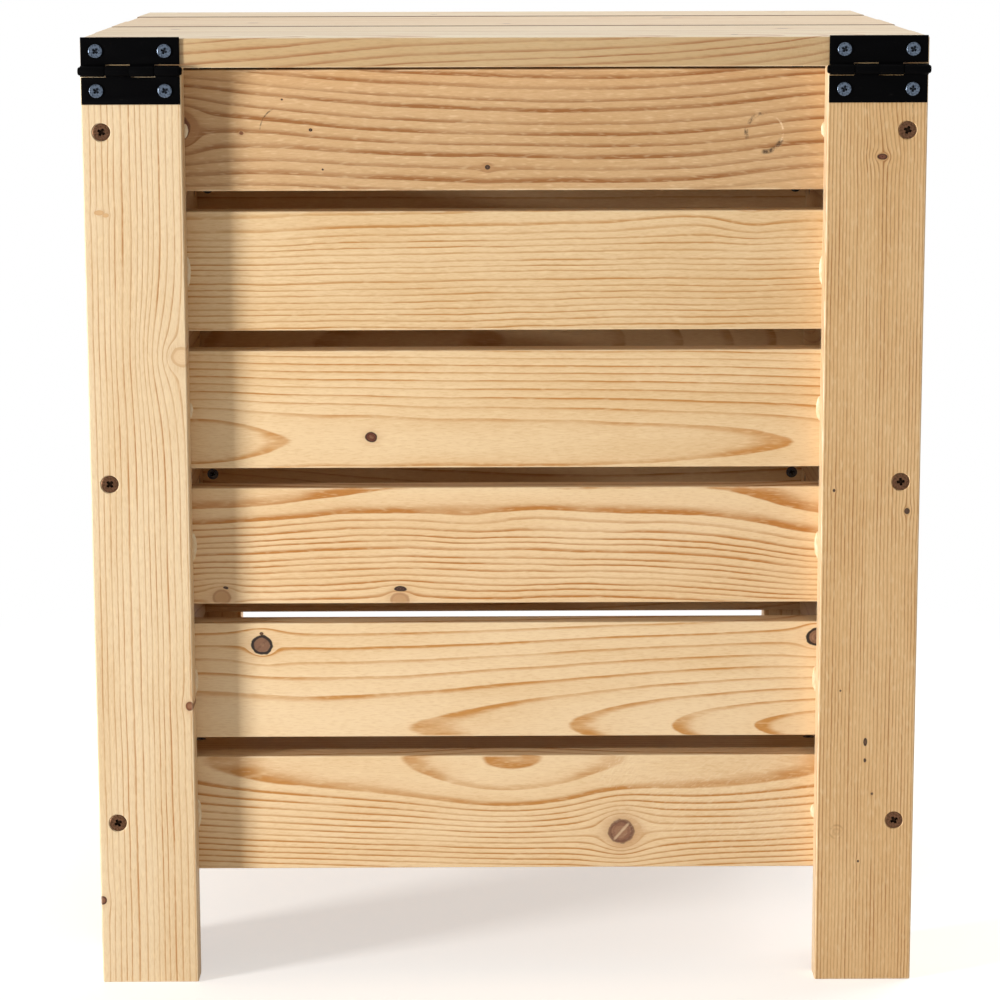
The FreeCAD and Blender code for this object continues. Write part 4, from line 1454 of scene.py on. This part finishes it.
@dataclass
class Legs:
    """The eight leg boards: two at the rear, two at the front and two on each side."""

    slot: str = "leg_softwood"
    body: str = "box"

    def rear_finishes(self) -> list[Softwood]:
        """Grain of the rear legs, left and then right.

        Returns:
            The finishes.
        """
        half = half_in_mm("leg_rear_left", Facing.REAR_UPRIGHT)
        return [Softwood("leg_straight_grain", 7.0, half, early=srgb(232, 210, 175),
                         late=srgb(188, 136, 82), contrast=1.0,
                         log=Log(78.0, 26.0, 3.1, wobble=2.2, band=0.26),
                         bends=(Bend(94.0, -14.0, 34.0, 16.0, 4.0),),
                         knots=(Knot(168.5, 17.6, 2.4, KnotKind.STAIN, stretch=0.55, reach=0.3),
                                Knot(167.2, 14.6, 1.7, KnotKind.STAIN, stretch=0.6, reach=0.3),
                                Knot(94.0, -26.0, 4.6, KnotKind.BLIND, stretch=1.1, reach=1.6),
                                Knot(-197.0, 24.5, 2.0, KnotKind.RED),
                                Knot(-91.0, -23.5, 2.2, KnotKind.TIGHT))),
                Softwood("leg_fine_grain", 8.0, half, early=srgb(231, 196, 147), late=srgb(172, 120, 68),
                         contrast=1.0, side=SUNLIT_SIDE, log=Log(-92.0, 24.0, 1.8, wobble=2.0, band=0.42),
                         bends=(Bend(226.0, -4.0, 18.0, 12.0, 2.5),),
                         knots=(Knot(12.0, -19.0, 1.4, KnotKind.PITCH),
                                Knot(23.0, 19.0, 0.7, KnotKind.PITCH),
                                Knot(-111.8, 0.5, 1.0, KnotKind.PITCH, stretch=2.2, reach=0.2),
                                Knot(-121.8, 0.5, 0.7, KnotKind.PITCH, stretch=1.7, reach=0.2),
                                Knot(-140.0, -3.5, 0.6, KnotKind.PITCH),
                                Knot(-84.0, 14.0, 0.5, KnotKind.PITCH),
                                Knot(-177.0, 3.2, 0.6, KnotKind.PITCH),
                                Knot(196.0, -3.0, 2.6, KnotKind.RED, stretch=0.6, reach=1.2)),
                         scuffs=(Scuff(-160.8, 14.8, 3.6, 3.0, 0.6, 0.0, 3.3, 0.4, srgb(150, 106, 62)),
                                 Scuff(-160.8, 14.8, 1.6, 4.0, 0.8, 0.0, 3.3, 0.3, srgb(160, 118, 74)),
                                 Scuff(224.0, -317.6, 300.0, 6.0, 0.16, math.pi / 2, 0.05, 0.8)))]

    def build(self, groups: TimberGroups) -> None:
        """Build the rear pair with its own grain, and the rest from stock.

        Args:
            groups: The shared timber groups.
        """
        for hand, finish in zip(("left", "right"), self.rear_finishes()):
            node = f"leg_rear_{hand}"
            piece = board_copy(f"{node}_board", [node], [Facing.REAR_UPRIGHT], [finish.material(groups)])
            hand_over(piece, self.body, [node])
        half = half_in_mm("leg_front_left", Facing.FRONT_UPRIGHT)
        stock = Softwood("leg_stock", 90.0, half, contrast=0.75).material(groups)
        sides = {"front_legs": [(f"leg_front_{hand}", Facing.FRONT_UPRIGHT) for hand in ("left", "right")]}
        for hand, facing in (("left", Facing.LEFT_UPRIGHT), ("right", Facing.RIGHT_UPRIGHT)):
            sides[f"{hand}_legs"] = [(f"leg_side_{end}_{hand}", facing) for end in ("rear", "front")]
        for name, boards in sides.items():
            nodes = [node for node, _ in boards]
            piece = board_copy(name, nodes, [facing for _, facing in boards], [stock])
            hand_over(piece, self.body, nodes)


@dataclass
class Lid:
    """Five planks with open seams on two battens."""

    PLANKS = 5
    KNOTS = {2: (Knot(-176.0, 4.0, 2.2), Knot(150.0, -6.0, 2.6)),
             3: (Knot(-140.0, 8.0, 2.4), Knot(2.0, -10.0, 2.0)), 4: (Knot(96.0, 6.0, 3.2),),
             5: (Knot(-40.0, -9.0, 1.8), Knot(171.0, 12.0, 1.2, KnotKind.PITCH))}
    body: str = "lid"
    play: Triple = (0.5 * MM, 0.0, 0.7 * MM)

    def build(self, groups: TimberGroups) -> None:
        """Build the planks and the battens.

        Args:
            groups: The shared timber groups.
        """
        nodes = [f"lid_plank_{number}" for number in range(1, self.PLANKS + 1)]
        half = half_in_mm(nodes[0], Facing.UP)
        # Painted sheen in part: the planks' pale, greyer early colour stands for the glancing reflection of
        # the white sky on the lid top.
        edge = Softwood("lid_edge_plank", 11.0, half, early=srgb(238, 222, 190), late=srgb(192, 140, 82),
                        contrast=1.1, specular=0.9, side=SHADED_EDGE_SIDE,
                        log=Log(-22.0, 52.0, 4.4, slope_depth=0.062, wobble=4.0, band=0.34),
                        bends=(Bend(205.0, -half[1], 46.0, 60.0, rise=-9.0),
                               Bend(-60.0, -half[1], 60.0, 60.0, rise=-2.5)),
                        knots=(Knot(118.0, -10.0, 1.5, KnotKind.PITCH),),
                        torn=(Torn(170.0, -half[1], 46.0, 30.0, 0.9, 0.14),))
        stock = [Softwood(f"lid_plank_stock_{number}", 110.0 + 7.0 * number, half,
                          early=srgb(238, 222, 190), contrast=0.8, specular=0.9, side=SEAM_SHADE_AND_DIRT,
                          knots=self.KNOTS[number]) for number in range(2, self.PLANKS + 1)]
        materials = [finish.material(groups) for finish in (edge, *stock)]
        BoardCourse("lid_planks", nodes, Facing.UP, self.body, "lid_softwood",
                    play=self.play).build(materials)
        battens = ["lid_batten_left", "lid_batten_right"]
        finish = Softwood("batten_stock", 150.0, half_in_mm(battens[0], Facing.DOWN_DEEP))
        piece = board_copy("lid_battens", battens, [Facing.DOWN_DEEP] * 2, [finish.material(groups)])
        hand_over(piece, self.body, battens)


@dataclass
class Floor:
    """Four floor boards on two cleats."""

    BOARDS = 4
    body: str = "box"
    slot: str = "inner_softwood"

    def build(self, groups: TimberGroups, screws: dict[str, ScrewGroup]) -> None:
        """Build the floor boards and the cleats.

        Args:
            groups: The shared timber groups.
            screws: The measured screw groups by node.
        """
        nodes = [f"floor_board_{number}" for number in range(1, self.BOARDS + 1)]
        finish = Softwood("floor_stock", 170.0, half_in_mm(nodes[0], Facing.UP))
        BoardCourse("floor_boards", nodes, Facing.UP, self.body, self.slot,
                    screws["floor_screws"]).build([finish.material(groups)])
        cleats = ["floor_cleat_left", "floor_cleat_right"]
        facings = [Facing.DOWN_DEEP, Facing.DOWN_DEEP]
        finish = Softwood("cleat_stock", 190.0, half_in_mm(cleats[0], Facing.DOWN_DEEP))
        piece = board_copy("floor_cleats", cleats, facings, [finish.material(groups)])
        hand_over(piece, self.body, cleats)


@dataclass(frozen=True)
class SatinBlack:
    """Black coated steel with faint rubbing and dust."""

    FINE_GRAIN = (1400.0, 1400.0, 1400.0)
    SLOW_GRAIN = (140.0, 140.0, 260.0)
    RELIEF_DEPTH = 0.05 * MM
    name: str = "hinge_satin_black"
    coat: Colour = srgb(5, 5, 6)
    rubbed: Colour = srgb(34, 33, 32)
    specular: float = 0.02

    def material(self) -> bpy.types.Material:
        """Build the material.

        Returns:
            The material.
        """
        made, wires, shader = new_material(self.name, self.coat)
        shader["Specular IOR Level"].default_value = self.specular
        at = wires.out("ShaderNodeTexCoord", output="Object")
        fine = wires.noise(at * self.FINE_GRAIN)
        slow = wires.noise(at * self.SLOW_GRAIN, 4.0, 0.65)
        share = wires.step(slow, 0.58, 0.78) * wires.step(fine, 0.45, 0.75)
        wires.feed(shader["Base Color"], wires.blend(share * 0.5, self.coat, self.rubbed))
        wires.feed(shader["Roughness"], wires.spread(slow, 0.34, 0.56))
        relief = {"Strength": 0.12, "Distance": self.RELIEF_DEPTH, "Height": fine}
        wires.feed(shader["Normal"], wires.out("ShaderNodeBump", relief))
        return made


@dataclass(frozen=True)
class ScrewSteel:
    """Plated steel with blotchy plating, and painted shade that darkens its cross recess."""

    RECESS = (-0.35, -0.06)
    BLOTCH_GRAIN = (0.9, 0.9, 0.9)
    # Colour of the painted shade in the cross recess.
    DIRT = srgb(12, 9, 7)
    name: str
    plate: Colour
    shade: Colour
    roughness: float

    def material(self) -> bpy.types.Material:
        """Build the material.

        Returns:
            The material.
        """
        made, wires, shader = new_material(self.name, self.plate)
        shader["Metallic"].default_value = 1.0
        at = wires.out("ShaderNodeAttribute", output="Vector", attribute_name=SCREW_AT)
        # Painted shade: the cross recess darkens towards near black, where shade falls in it.
        sunk = wires.fall(wires.split(at)[2], *self.RECESS)
        blotch = wires.noise(at * self.BLOTCH_GRAIN, 4.0, 0.65)
        tint = wires.blend(wires.step(blotch, 0.35, 0.7), self.plate, self.shade)
        wires.feed(shader["Base Color"], wires.blend(sunk * 0.85, tint, self.DIRT))
        low, high = self.roughness - 0.08, self.roughness + 0.12
        wires.feed(shader["Roughness"], wires.spread(blotch, low, high))
        return made


@dataclass
class Screws:
    """All the screw groups, each made by the same tree from its own node's screws."""

    GROUPS = {
        "slat_screws_rear": "box", "slat_screws_front": "box", "slat_screws_sides": "box",
        "corner_screws": "box", "batten_screws": "lid", "floor_screws": "box", "cleat_screws": "box",
        "hinge_screws_lid": "lid", "hinge_screws_leg": "box"}
    YELLOW = "corner_screws"
    fine_shank: float = 3.5 * MM
    corner_shank: float = 4.5 * MM
    recess_share: float = 0.62
    slot_share: float = 0.22
    recess_depth: float = 1.4 * MM

    def measure(self) -> dict[str, ScrewGroup]:
        """Measure every group on its node.

        Returns:
            The groups by node.
        """
        return {node: ScrewGroup(node) for node in self.GROUPS}

    def build(self, groups: dict[str, ScrewGroup]) -> None:
        """Make every group's screws.

        Args:
            groups: The measured groups by node.
        """
        zinc = ScrewSteel("screw_bright_zinc", srgb(108, 120, 136), srgb(42, 50, 62), 0.26).material()
        yellow = ScrewSteel("screw_yellow_plate", srgb(116, 82, 62), srgb(66, 48, 31), 0.36).material()
        for seed, (node, body) in enumerate(self.GROUPS.items(), start=3):
            group = groups[node]
            corner = node == self.YELLOW
            tree = ScrewTree(f"{node}_tree", yellow if corner else zinc).tree
            piece = new_piece(f"{node}_set", point_mesh(node, group.spots))
            run_nodes(piece, tree,
                      {"Head": group.head, "Shank": self.corner_shank if corner else self.fine_shank,
                       "Length": group.length, "Recess": self.recess_share * group.head,
                       "Slot": self.slot_share * group.head, "Recess Depth": self.recess_depth,
                       "Seed": seed})
            hand_over(piece, body, [node])


@dataclass
class Hinges:
    """The two butt hinges: leaves and pins with eased edges."""

    slot: str = "hinge_black"
    ease: float = 0.18 * MM
    crease: float = math.radians(32)
    flat: float = math.radians(1.0)

    def build(self) -> None:
        """Ease copies of the leaves and pins and coat them."""
        black = SatinBlack().material()
        for hand in ("left", "right"):
            for part, body in (("lid_leaf", "lid"), ("leg_leaf", "box"), ("pin", "box")):
                node = f"hinge_{hand}_{part}"
                piece = self.eased(node, black)
                hand_over(piece, body, [node])

    def eased(self, node: str, material: bpy.types.Material) -> bpy.types.Object:
        """Copy a node's shape and round its sharp edges.

        Args:
            node: The node.
            material: Its finish.

        Returns:
            The piece.
        """
        shape = node_shape(node)
        bmesh.ops.dissolve_limit(shape, angle_limit=self.flat, verts=shape.verts, edges=shape.edges)
        mesh = bpy.data.meshes.new(f"{node}_eased")
        shape.to_mesh(mesh)
        shape.free()
        mesh.materials.clear()
        mesh.materials.append(material)
        piece = new_piece(f"{node}_eased", mesh)
        bevel = piece.modifiers.new("ease", "BEVEL")
        bevel.width = self.ease
        bevel.segments = 2
        bevel.limit_method = "ANGLE"
        bevel.angle_limit = self.crease
        bevel.use_clamp_overlap = True
        settle(piece)
        for face in piece.data.polygons:
            face.use_smooth = True
        piece.data.set_sharp_from_angle(angle=self.crease)
        return piece


class BeadTree(TreeBench):
    """Drops of dried glue, one on each point, drawn out along the joint."""

    FINENESS = 4
    LUMP_GRAIN = (1.3, 1.3, 1.9)
    LEAST = (0.65, 0.65, 0.45)
    MOST = (1.15, 1.10, 1.30)

    def __init__(self, name: str, material: bpy.types.Material) -> None:
        """Build the tree.

        Args:
            name: The tree's name.
            material: The glue's finish.
        """
        super().__init__(name, {"Half Size": (0.0015, 0.001, 0.006), "Lumps": 0.5, "Seed": 2})
        ball = self.out("GeometryNodeMeshIcoSphere", {"Radius": 1.0, "Subdivisions": self.FINENESS})
        swell = self.noise(self.out("GeometryNodeInputPosition") * self.LUMP_GRAIN, output=1) - HALF
        drop = self.shift(ball, "Offset", swell * self.given["Lumps"])
        drop = self.out("GeometryNodeSetShadeSmooth", {"Geometry": drop})
        size = self.random(self.LEAST, self.MOST) * self.given["Half Size"]
        self.finish(self.set_out(self.given["Points"], drop, "Scale", size), [material])


@dataclass
class GlueBeads:
    """Dried glue in the corners where the rear slats meet the leg boards."""

    CLOUD_GRAIN = (420.0, 420.0, 260.0)
    name: str = "rear_glue_beads"
    half_size: Triple = (1.7 * MM, 1.1 * MM, 5.8 * MM)
    body: str = "box"
    slot: str = "slat_softwood"
    film: Colour = srgb(244, 228, 198)
    clouded: Colour = srgb(232, 206, 164)

    def spots(self) -> list[ScrewSpot]:
        """Middle of each corner between a slat's face and a leg's inner side.

        Returns:
            The places.
        """
        inner = (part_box("leg_rear_left")[1].x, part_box("leg_rear_right")[0].x)
        found = []
        for course in range(1, SlatWalls.COURSES + 1):
            node = f"slat_rear_{course}"
            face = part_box(node)[0].y
            found += [ScrewSpot(Vector((side, face, middle_of(node).z)),
                                Vector((0.0, 0.0, 1.0))) for side in inner]
        return found

    def material(self) -> bpy.types.Material:
        """Build the glue's material.

        Returns:
            The material.
        """
        made, wires, shader = new_material("dried_glue", self.film)
        cloud = wires.noise(wires.out("ShaderNodeTexCoord", output="Object") * self.CLOUD_GRAIN, 3.0)
        wires.feed(shader["Base Color"], wires.blend(wires.step(cloud, 0.35, 0.7), self.film, self.clouded))
        wires.feed(shader["Roughness"], wires.spread(cloud, 0.28, 0.5))
        return made

    def build(self) -> None:
        """Set the beads into their corners."""
        tree = BeadTree(self.name, self.material()).tree
        piece = new_piece(self.name, point_mesh(self.name, self.spots()))
        run_nodes(piece, tree, {"Half Size": Vector(self.half_size)})
        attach(piece, self.body)
        log.info("%s: %d faces on %s", piece.name, len(piece.data.polygons), self.body)


def seen_rays(wires: Wiring) -> Term:
    """1 for rays of the camera, of mirrors and of clear things, and 0 for the rest."""
    rays = wires.node("ShaderNodeLightPath").outputs
    bounced = wires.math("MAXIMUM", rays["Is Glossy Ray"], rays["Is Transmission Ray"])
    return wires.math("MAXIMUM", rays["Is Camera Ray"], bounced)


@dataclass(frozen=True)
class Lamp:
    """An area lamp that looks at the object: its way from there, distance, size in metres and power."""

    name: str
    way: Triple
    far: float
    size: tuple[float, float]
    watts: float
    tint: Triple = (1.0, 1.0, 1.0)

    def hang(self, middle: Vector) -> None:
        """Hang the lamp.

        Args:
            middle: The object's middle.
        """
        light = bpy.data.lights.new(self.name, "AREA")
        light.shape = "RECTANGLE"
        light.size, light.size_y = self.size
        light.energy = self.watts
        light.color = self.tint
        lamp = bpy.data.objects.new(self.name, light)
        way = Vector(self.way).normalized()
        lamp.location = middle + way * self.far
        lamp.rotation_euler = (-way).to_track_quat("-Z", "Y").to_euler()
        bpy.context.scene.collection.objects.link(lamp)


@dataclass
class Studio:
    """White surroundings, a soft window light from the left and the camera."""

    floor_reach: float = 12.0
    floor_paint: Colour = (0.82, 0.82, 0.82, 1.0)
    floor_glow: float = 0.52
    floor_fade: tuple[float, float] = (0.32, 0.80)
    camera_at: Triple = (-0.0102, -1.767, 0.571)
    look_down: float = 0.1754
    look_aside: float = -0.0046
    roll: float = -0.0026
    focal_pixels: float = 3140.7
    frame_pixels: float = 1000.0
    sensor: float = 36.0
    frame_drop: float = 0.05
    far_limit: float = 100.0
    sky_level: float = 0.30
    sky_tint: Colour = (1.0, 0.90, 0.77, 1.0)
    lamps: tuple[Lamp, ...] = (
        Lamp("window_light", (-0.87, -0.50, 0.06), 2.4, (0.42, 0.60), 63.0, (1.0, 0.98, 0.945)),
        Lamp("top_light", (0.1, 0.35, 1.0), 1.9, (1.8, 1.8), 15.0),
        Lamp("fill_light", (0.85, 0.55, 0.35), 2.4, (1.6, 1.6), 24.0))

    def build(self) -> None:
        """Set up the floor, the world, the lamps and the camera."""
        scene = bpy.context.scene
        scene.view_settings.view_transform = "Standard"
        self.floor()
        self.world(scene)
        for lamp in self.lamps:
            lamp.hang((CAD_BOX[0] + CAD_BOX[1]) / 2)
        self.camera(scene)

    def floor(self) -> None:
        """A pale floor that shows white to the camera and keeps the object's shadow."""
        mesh = bpy.data.meshes.new("studio_floor")
        far = self.floor_reach
        mesh.from_pydata([(-far, -far, 0), (far, -far, 0), (far, far, 0), (-far, far, 0)], [],
                         [(0, 1, 2, 3)])
        piece = new_piece("studio_floor", mesh)
        made = bpy.data.materials.new("floor_white")
        made.use_nodes = True
        wires = Wiring(made.node_tree)
        made.node_tree.nodes.remove(made.node_tree.nodes["Principled BSDF"])
        paint = wires.out("ShaderNodeBsdfDiffuse", {"Color": self.floor_paint})
        seen = seen_rays(wires)
        glow = wires.out("ShaderNodeEmission", {"Strength": seen * self.floor_glow})
        near = wires.out("ShaderNodeAddShader", {0: paint, 1: glow})
        white = wires.out("ShaderNodeEmission", {"Strength": 1.0})
        away = wires.gauge("LENGTH", wires.out("ShaderNodeTexCoord", output="Object"))
        share = wires.step(away, *self.floor_fade) * seen
        both = wires.out("ShaderNodeMixShader", {0: share, 1: near, 2: white})
        wires.feed(made.node_tree.nodes["Material Output"].inputs["Surface"], both)
        mesh.materials.append(made)

    def world(self, scene: bpy.types.Scene) -> None:
        """White surroundings that light the object only at the sky's level.

        Args:
            scene: The scene.
        """
        world = bpy.data.worlds.new("studio_white")
        scene.world = world
        world.use_nodes = True
        wires = Wiring(world.node_tree)
        back = world.node_tree.nodes["Background"]
        seen = seen_rays(wires)
        wires.feed(back.inputs["Strength"], wires.spread(seen, self.sky_level, 1.0))
        wires.feed(back.inputs["Color"], wires.blend(seen, self.sky_tint, WHITE))

    def camera(self, scene: bpy.types.Scene) -> None:
        """Stand the camera behind the box, a little above the lid.

        Args:
            scene: The scene.
        """
        lens = bpy.data.cameras.new("view_camera")
        lens.sensor_width = self.sensor
        lens.lens = self.focal_pixels / self.frame_pixels * self.sensor
        lens.shift_y = -self.frame_drop
        lens.clip_end = self.far_limit
        camera = bpy.data.objects.new("view_camera", lens)
        turn = (Matrix.Rotation(self.look_aside, 4, "Z") @ Matrix.Rotation(math.pi / 2 - self.look_down, 4,
                                                                           "X") @ Matrix.Rotation(self.roll,
                                                                                                  4, "Z"))
        camera.matrix_world = Matrix.Translation(self.camera_at) @ turn
        scene.collection.objects.link(camera)
        scene.camera = camera


def main() -> None:
    """Build the sub-assemblies in order, then the studio."""
    logging.basicConfig(level=logging.INFO, format="%(name)s: %(message)s")
    groups = TimberGroups()
    fasteners = Screws()
    measured = fasteners.measure()
    Legs().build(groups)
    SlatWalls().build(groups, measured)
    Floor().build(groups, measured)
    Lid().build(groups)
    fasteners.build(measured)
    Hinges().build()
    GlueBeads().build()
    Studio().build()


if __name__ == "__main__":
    main()
